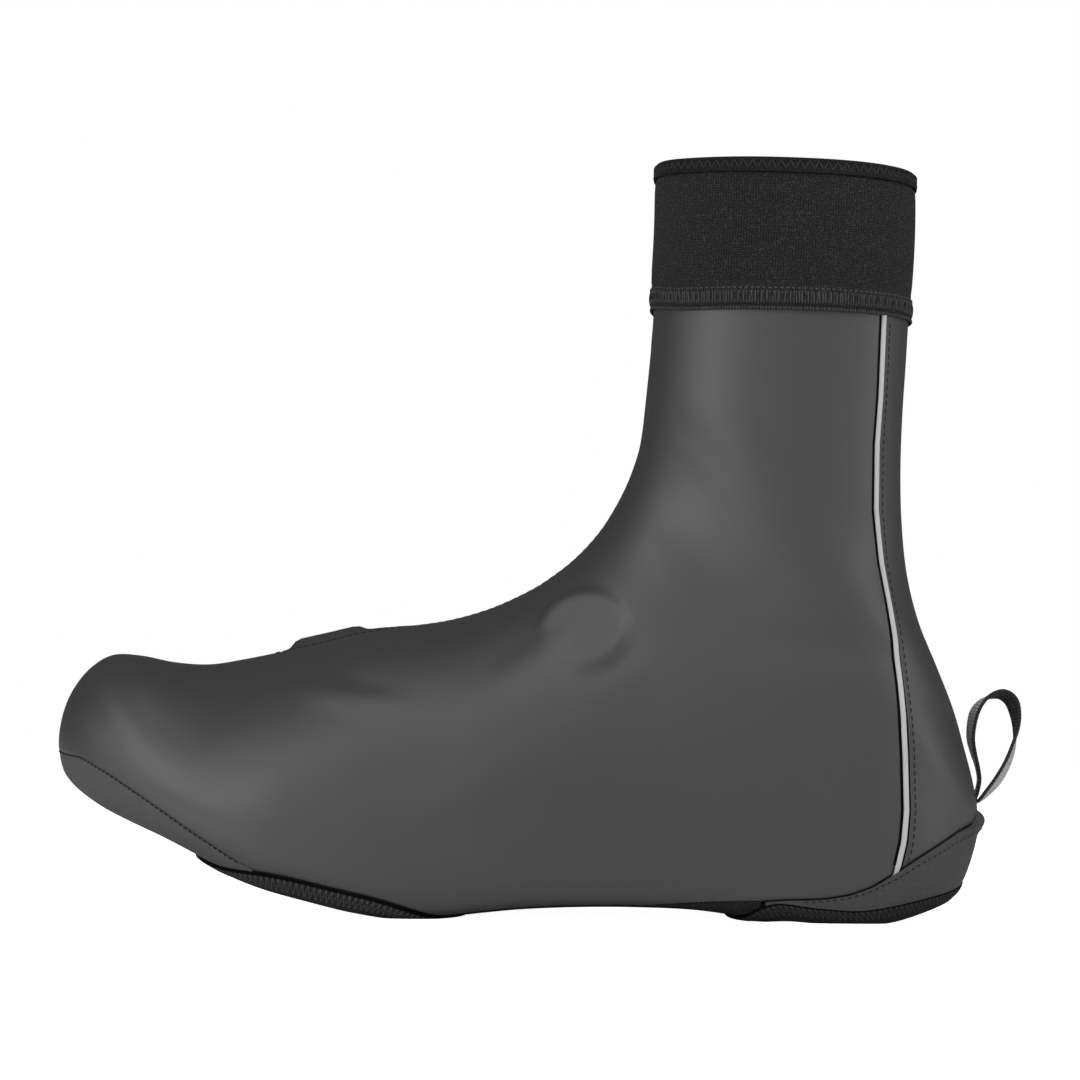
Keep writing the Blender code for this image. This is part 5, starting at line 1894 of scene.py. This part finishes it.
    def build(self, wardrobe: Wardrobe) -> None:
        """Models, dresses and sews the cuff and its binding.

        Args:
            wardrobe: The finishes.
        """
        cuff = self.ring("cuff_knit", self.profile)
        binding = self.ring("cuff_top_binding", self.binding_profile)
        for piece, finish, node in ((cuff, KNIT, "cuff"), (binding, TAPE, "cuff_binding")):
            wardrobe.dress(piece, finish)
            Workbench.smooth(piece)
            Workbench.hand_over(piece, finish.slot, node)
        for row in self.rows:
            low = self.line(row.section, row.low, row.offset)
            high = self.line(row.section, row.high, row.offset)
            run = StitchRun(row.name, row.thread, row.width, row.width * self.thread_height)
            if row.stitch is Stitch.DASHES:
                places = low.stitches(row.pitch * self.dash_share, row.pitch, 0.0)
            elif row.stitch is Stitch.ZIGZAG:
                places = zigzag((low, high), row.pitch)
            else:
                places = ladder(low, high, row.pitch, self.ladder_lean)
            run.build(*places, wardrobe)


class Running(NamedTuple):
    """Running stitches: the thread's width and height, and the length, pitch and lift of a stitch."""

    width: float
    height: float
    length: float
    pitch: float
    lift: float


@dataclass
class Trim:
    """The piping of both sides, and the stitch rows of the upper and the guards."""

    last: Last
    cut: Cut
    form: WornForm
    panels: Panels
    lift: float = 0.06
    shift: float = 0.35
    dip_length: float = 5.5
    dip: float = 1.7
    steps: int = 120
    profile: tuple[tuple[float, float], ...] = (
        (-1.75, 0.0),
        (-0.84, 0.0),
        (-0.80, 0.36),
        (-0.62, 0.68),
        (-0.34, 0.88),
        (0.0, 0.95),
        (0.34, 0.88),
        (0.62, 0.68),
        (0.80, 0.36),
        (0.84, 0.0),
        (1.55, 0.0),
        (1.55, -0.5),
        (-1.75, -0.5),
    )
    cord_faces: tuple[int, int] = (1, 9)
    rear_row: float = 2.9
    front_row: float = 2.6
    vamp_first_x: float = 67.0
    vamp_last_x: float = 110.0
    toe_row: float = 0.3
    toe_row_start: float = 0.04
    toe_row_end: float = 0.4
    heel_row: float = 2.6
    heel_margin: int = 4
    rear_stitches: Running = Running(0.52, 0.30, 1.7, 2.4, 0.02)
    toe_stitches: Running = Running(0.55, 0.30, 1.25, 1.9, 0.02)
    vamp_stitches: Running = Running(0.55, 0.55, 1.6, 2.3, 0.0)
    front_stitches: Running = Running(0.36, 0.16, 1.9, 2.7, 0.0)
    heel_stitches: Running = Running(0.46, 0.28, 1.3, 2.2, 0.02)

    def piping(self, name: str, side: Side) -> bpy.types.Object:
        """The half round cord of one side between flat strips painted near black as the shadow of the seams
        beside it, its end under the heel guard.
        """
        line = self.on_upper(*self.cut.piping_way(side, self.steps))
        forward = line.across() * side.value
        lengths = np.linalg.norm(line.points - line.points[0], axis=1)
        shown = smooth_step(lengths / self.dip_length)[:, None]
        rows = []
        for behind, high in (*self.profile, self.profile[0]):
            lift = self.lift + high - self.dip * (1 - shown)
            rows.append(line.points + forward * (self.shift - behind) + line.normals * lift)
        piece = Workbench.grid(name, np.array(rows))
        # All but the cord's faces take the second finish, the painted seam shadow.
        slots = np.ones((len(self.profile), self.steps - 1), np.int32)
        slots[slice(*self.cord_faces)] = 0
        piece.data.polygons.foreach_set("material_index", slots.reshape(-1))
        Workbench.merge(piece)
        Workbench.in_edit_mode(
            piece,
            lambda: bpy.ops.mesh.fill_holes(sides=0),
            lambda: bpy.ops.mesh.normals_make_consistent(inside=False),
        )
        Workbench.smooth(piece)
        return piece

    def on_upper(self, stations: np.ndarray, around: np.ndarray) -> Line:
        """A line on the upper, lifted where the fabric is."""
        points, normals = self.last.at(stations, around)
        return Line(points + normals * self.form.rise(points)[:, None], normals)

    def rear_line(self, side: Side, upper: bpy.types.Object) -> Line:
        """The stitch row behind the piping."""
        line = Line(*self.last.at(*self.cut.piping_way(side, self.steps)))
        beside = Line(line.points - line.across() * self.rear_row * side.value, line.normals)
        return beside.dropped(upper)

    def front_line(self, first_x: float, last_x: float) -> Line:
        """The stitch row beside the front seam, from one place of the shoe's length to another."""
        stations = np.linspace(Station.TOE_GUARD / 2, Station.HEM, 3 * self.steps)
        around = [self.front_row / self.last.girth(station, Side.LATERAL) for station in stations]
        line = self.on_upper(stations, np.array(around))
        shown = (line.points[:, 0] > first_x) & (line.points[:, 0] < last_x)
        return Line(line.points[shown], line.normals[shown])

    def toe_line(self, side: Side) -> Line:
        """The stitch row above the toe seam."""
        first = self.cut.apex + self.toe_row_start
        stations = np.linspace(first, Station.TOE_GUARD + self.toe_row_end, self.steps)
        around = []
        for station in stations:
            edge = self.cut.edge_share(station, side) * self.last.section(station).width(side)
            reach = edge + self.cut.gap / 2 + self.toe_row
            around.append(side.value * (1 - reach / self.last.girth(station, side)))
        return self.on_upper(stations, np.array(around))

    def heel_line(self) -> Line:
        """The stitch row below the heel guard's top seam."""
        points, normals = self.panels.surface(self.panels.heel_places())
        inner = slice(self.heel_margin, -self.heel_margin)
        below_lip = slice(self.panels.lip_steps, None)
        laid = [
            Line(row[below_lip], normal[below_lip]).resampled(np.array([self.heel_row]))
            for row, normal in zip(points[inner], normals[inner])
        ]
        row_points = np.concatenate([line.points for line in laid])
        return Line(row_points, np.concatenate([line.normals for line in laid]))

    @staticmethod
    def sew(name: str, line: Line, row: Running, wardrobe: Wardrobe) -> None:
        """Sews a row of dark running stitches along a line."""
        run = StitchRun(name, DARK_THREAD_AND_SHADE, row.width, row.height)
        run.build(*line.stitches(row.length, row.pitch, row.lift), wardrobe)

    def build(self, wardrobe: Wardrobe, upper: bpy.types.Object) -> None:
        """Models, dresses and sews the trim.

        Args:
            wardrobe: The finishes.
            upper: The upper, which the rows are sewn on.
        """
        for side in Side:
            label = side.name.lower()
            cord = self.piping(f"piping_{label}_cord", side)
            wardrobe.dress(cord, PIPING, SEAM_SHADOW)
            Workbench.hand_over(cord, PIPING.slot, f"piping_{label}")
            rear_line = self.rear_line(side, upper)
            self.sew(f"rear_stitches_{label}", rear_line, self.rear_stitches, wardrobe)
            self.sew(f"toe_stitches_{label}", self.toe_line(side), self.toe_stitches, wardrobe)
        vamp_line = self.front_line(self.vamp_first_x, self.vamp_last_x)
        self.sew("vamp_stitches", vamp_line, self.vamp_stitches, wardrobe)
        shaft_line = self.front_line(self.vamp_last_x, SECTIONS[-1].low_x)
        self.sew("front_stitches", shaft_line, self.front_stitches, wardrobe)
        self.sew("heel_guard_stitches", self.heel_line(), self.heel_stitches, wardrobe)


@dataclass
class PullLoop:
    """The closed loop of webbing behind the heel, lighter on its outer face, which also has painted light."""

    width: float = 9.0
    thickness: float = 1.1
    steps: int = 8
    profile: tuple[tuple[float, float], ...] = (
        (-0.46, -0.5),
        (0.0, -0.5),
        (0.46, -0.5),
        (0.5, -0.2),
        (0.5, 0.2),
        (0.46, 0.5),
        (0.0, 0.5),
        (-0.46, 0.5),
        (-0.5, 0.2),
        (-0.5, -0.2),
    )
    outer_faces: tuple[int, ...] = (5, 6)

    def build(self, wardrobe: Wardrobe) -> None:
        """Models and dresses the loop.

        Args:
            wardrobe: The finishes.
        """
        line = np.array(LOOP_LINE)
        count = len(line)
        path = []
        for index in range(count):
            near = [line[(index + shift) % count] for shift in (-1, 0, 1, 2)]
            path += [blend(*near, step / self.steps) for step in range(self.steps)]
        path = np.array(path)
        centres = np.stack([path[:, 0], np.zeros(len(path)), path[:, 1]], axis=1)
        way = unit(np.roll(centres, -1, axis=0) - np.roll(centres, 1, axis=0))
        outward = np.stack([-way[:, 2], np.zeros(len(path)), way[:, 0]], axis=1)
        turn = np.radians(path[:, 2])[:, None]
        side = np.array([[0.0, 1.0, 0.0]])
        across = side * np.cos(turn) + outward * np.sin(turn)
        face = outward * np.cos(turn) - side * np.sin(turn)
        corners = [
            centres + across * wide * self.width + face * high * self.thickness for wide, high in self.profile
        ]
        points = np.stack(corners, axis=1)
        piece = Workbench.ring("pull_loop_webbing", points)
        wardrobe.dress(piece, WEBBING_DARK, WEBBING_LIGHT)
        slots = np.zeros((len(path), len(self.profile)), np.int32)
        slots[:, list(self.outer_faces)] = 1
        piece.data.polygons.foreach_set("material_index", slots.reshape(-1))
        Workbench.smooth(piece)
        Workbench.hand_over(piece, WEBBING_LIGHT.slot, "pull_loop")


class SoftBox(NamedTuple):
    """A soft light: its angles round and over the object from the camera's side, and its power."""

    name: str
    azimuth_deg: float
    elevation_deg: float
    watts: float
    glossy: bool = True


@dataclass
class Studio:
    """The pale floor, the soft lights and the camera at the photograph's angle."""

    camera_place: tuple[float, float, float] = (-0.0004, -1.100, 0.062)
    camera_aim: tuple[float, float, float] = (-0.0004, 0.0, 0.1164)
    camera_roll_deg: float = 0.9
    frame_width: float = 0.3386
    floor_size: float = 8.0
    floor_white: float = 0.85
    floor_roughness: float = 0.9
    floor_glow: float = 0.96
    floor_bounce: float = 0.02
    ambient: float = 0.065
    light_aim: tuple[float, float, float] = (0.0, 0.0, 0.10)
    light_distance: float = 1.4
    light_size: float = 0.7
    lights: tuple[SoftBox, ...] = (
        SoftBox("key", -45.0, 30.0, 3.7),
        SoftBox("key_low", -45.0, 5.0, 2.6),
        SoftBox("left", -75.0, 5.0, 1.5),
        SoftBox("low_front", -15.0, 5.0, 1.3),
        SoftBox("front", 15.0, 30.0, 1.2),
        SoftBox("side_low", 45.0, 5.0, 0.75),
        SoftBox("overhead", 0.0, 60.0, 2.5),
        SoftBox("rear_top", 60.0, 55.0, 3.5),
        SoftBox("rear", 75.0, 30.0, 1.7),
        SoftBox("rear_low", 82.0, 5.0, 1.9),
        SoftBox("behind", 180.0, 25.0, 6.0, glossy=False),
    )

    def floor(self) -> None:
        """A large pale floor that looks lit to the camera, and itself lights the object only a little."""
        bpy.ops.object.select_all(action="DESELECT")
        bpy.ops.mesh.primitive_plane_add(size=self.floor_size)
        floor = bpy.context.object
        floor.name = "floor"
        material = bpy.data.materials.new("pale_floor")
        material.use_nodes = True
        shade = NodeTree(material.node_tree)
        matte = material.node_tree.nodes["Principled BSDF"]
        matte.inputs["Base Color"].default_value = (self.floor_white,) * 3 + (1.0,)
        matte.inputs["Roughness"].default_value = self.floor_roughness
        matte.inputs["Emission Color"].default_value = (1.0, 1.0, 1.0, 1.0)
        matte.inputs["Emission Strength"].default_value = self.floor_bounce
        glow = shade.node("Emission", {"Color": (1.0, 1.0, 1.0, 1.0), "Strength": self.floor_glow})
        lit = shade.node("AddShader", {0: matte.outputs[0], 1: glow.outputs[0]})
        seen = shade.node("LightPath").outputs["Is Camera Ray"]
        mixed = shade.node("MixShader", {0: seen, 1: matte.outputs[0], 2: lit.outputs[0]})
        output = material.node_tree.nodes["Material Output"]
        material.node_tree.links.new(mixed.outputs[0], output.inputs["Surface"])
        floor.data.materials.append(material)

    def world(self) -> None:
        """A white background over a dimmer soft surround light."""
        world = bpy.data.worlds.new("studio")
        bpy.context.scene.world = world
        world.use_nodes = True
        shade = NodeTree(world.node_tree)
        surround = world.node_tree.nodes["Background"]
        surround.inputs["Color"].default_value = (1.0, 1.0, 1.0, 1.0)
        surround.inputs["Strength"].default_value = self.ambient
        white = shade.node("Background", {"Color": (1.0, 1.0, 1.0, 1.0), "Strength": 1.0})
        seen = shade.node("LightPath").outputs["Is Camera Ray"]
        mixed = shade.node("MixShader", {0: seen, 1: surround.outputs[0], 2: white.outputs[0]})
        world.node_tree.links.new(mixed.outputs[0], world.node_tree.nodes["World Output"].inputs["Surface"])

    @staticmethod
    def aimed(place: Vector, aim: Vector, roll_deg: float = 0.0) -> Matrix:
        """The matrix of a camera or light at a place that looks at another."""
        turn = (aim - place).to_track_quat("-Z", "Y").to_matrix().to_4x4()
        return Matrix.Translation(place) @ turn @ Matrix.Rotation(math.radians(roll_deg), 4, "Z")

    def light(self, box: SoftBox) -> None:
        """One soft light."""
        data = bpy.data.lights.new(box.name, "AREA")
        data.shape = "RECTANGLE"
        data.size = self.light_size
        data.size_y = self.light_size
        data.energy = box.watts
        lamp = bpy.data.objects.new(box.name, data)
        lamp.visible_glossy = box.glossy
        round_turn = math.radians(box.azimuth_deg)
        rise = math.radians(box.elevation_deg)
        level = Vector((math.sin(round_turn), -math.cos(round_turn), 0.0)) * math.cos(rise)
        aim = Vector(self.light_aim)
        place = aim + (level + Vector((0.0, 0.0, math.sin(rise)))) * self.light_distance
        lamp.matrix_world = self.aimed(place, aim)
        bpy.context.scene.collection.objects.link(lamp)

    def camera(self) -> None:
        """The camera of the photograph."""
        place = Vector(self.camera_place)
        aim = Vector(self.camera_aim)
        data = bpy.data.cameras.new("camera")
        data.sensor_fit = "HORIZONTAL"
        data.angle = 2 * math.atan(self.frame_width / 2 / (aim - place).length)
        camera = bpy.data.objects.new("camera", data)
        camera.matrix_world = self.aimed(place, aim, self.camera_roll_deg)
        bpy.context.scene.collection.objects.link(camera)
        bpy.context.scene.camera = camera

    def build(self) -> None:
        """Sets up the whole studio."""
        self.floor()
        self.world()
        for box in self.lights:
            self.light(box)
        self.camera()
        bpy.context.scene.view_settings.view_transform = "Standard"


def main() -> None:
    """Builds the overshoe's pieces and the studio, and notes the sizes."""
    logging.basicConfig(level=logging.INFO, format="%(name)s: %(message)s")
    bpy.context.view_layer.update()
    last = Last()
    cut = Cut(last)
    form = WornForm(last)
    panels = Panels(last, cut)
    wardrobe = Wardrobe()
    Studio().build()
    upper = Upper(last, cut, form).build(wardrobe)
    panels.build(wardrobe)
    Tapes(last, cut).build(wardrobe)
    Cuff(last).build(wardrobe)
    Trim(last, cut, form, panels).build(wardrobe, upper)
    PullLoop().build(wardrobe)


if __name__ == "__main__":
    main()
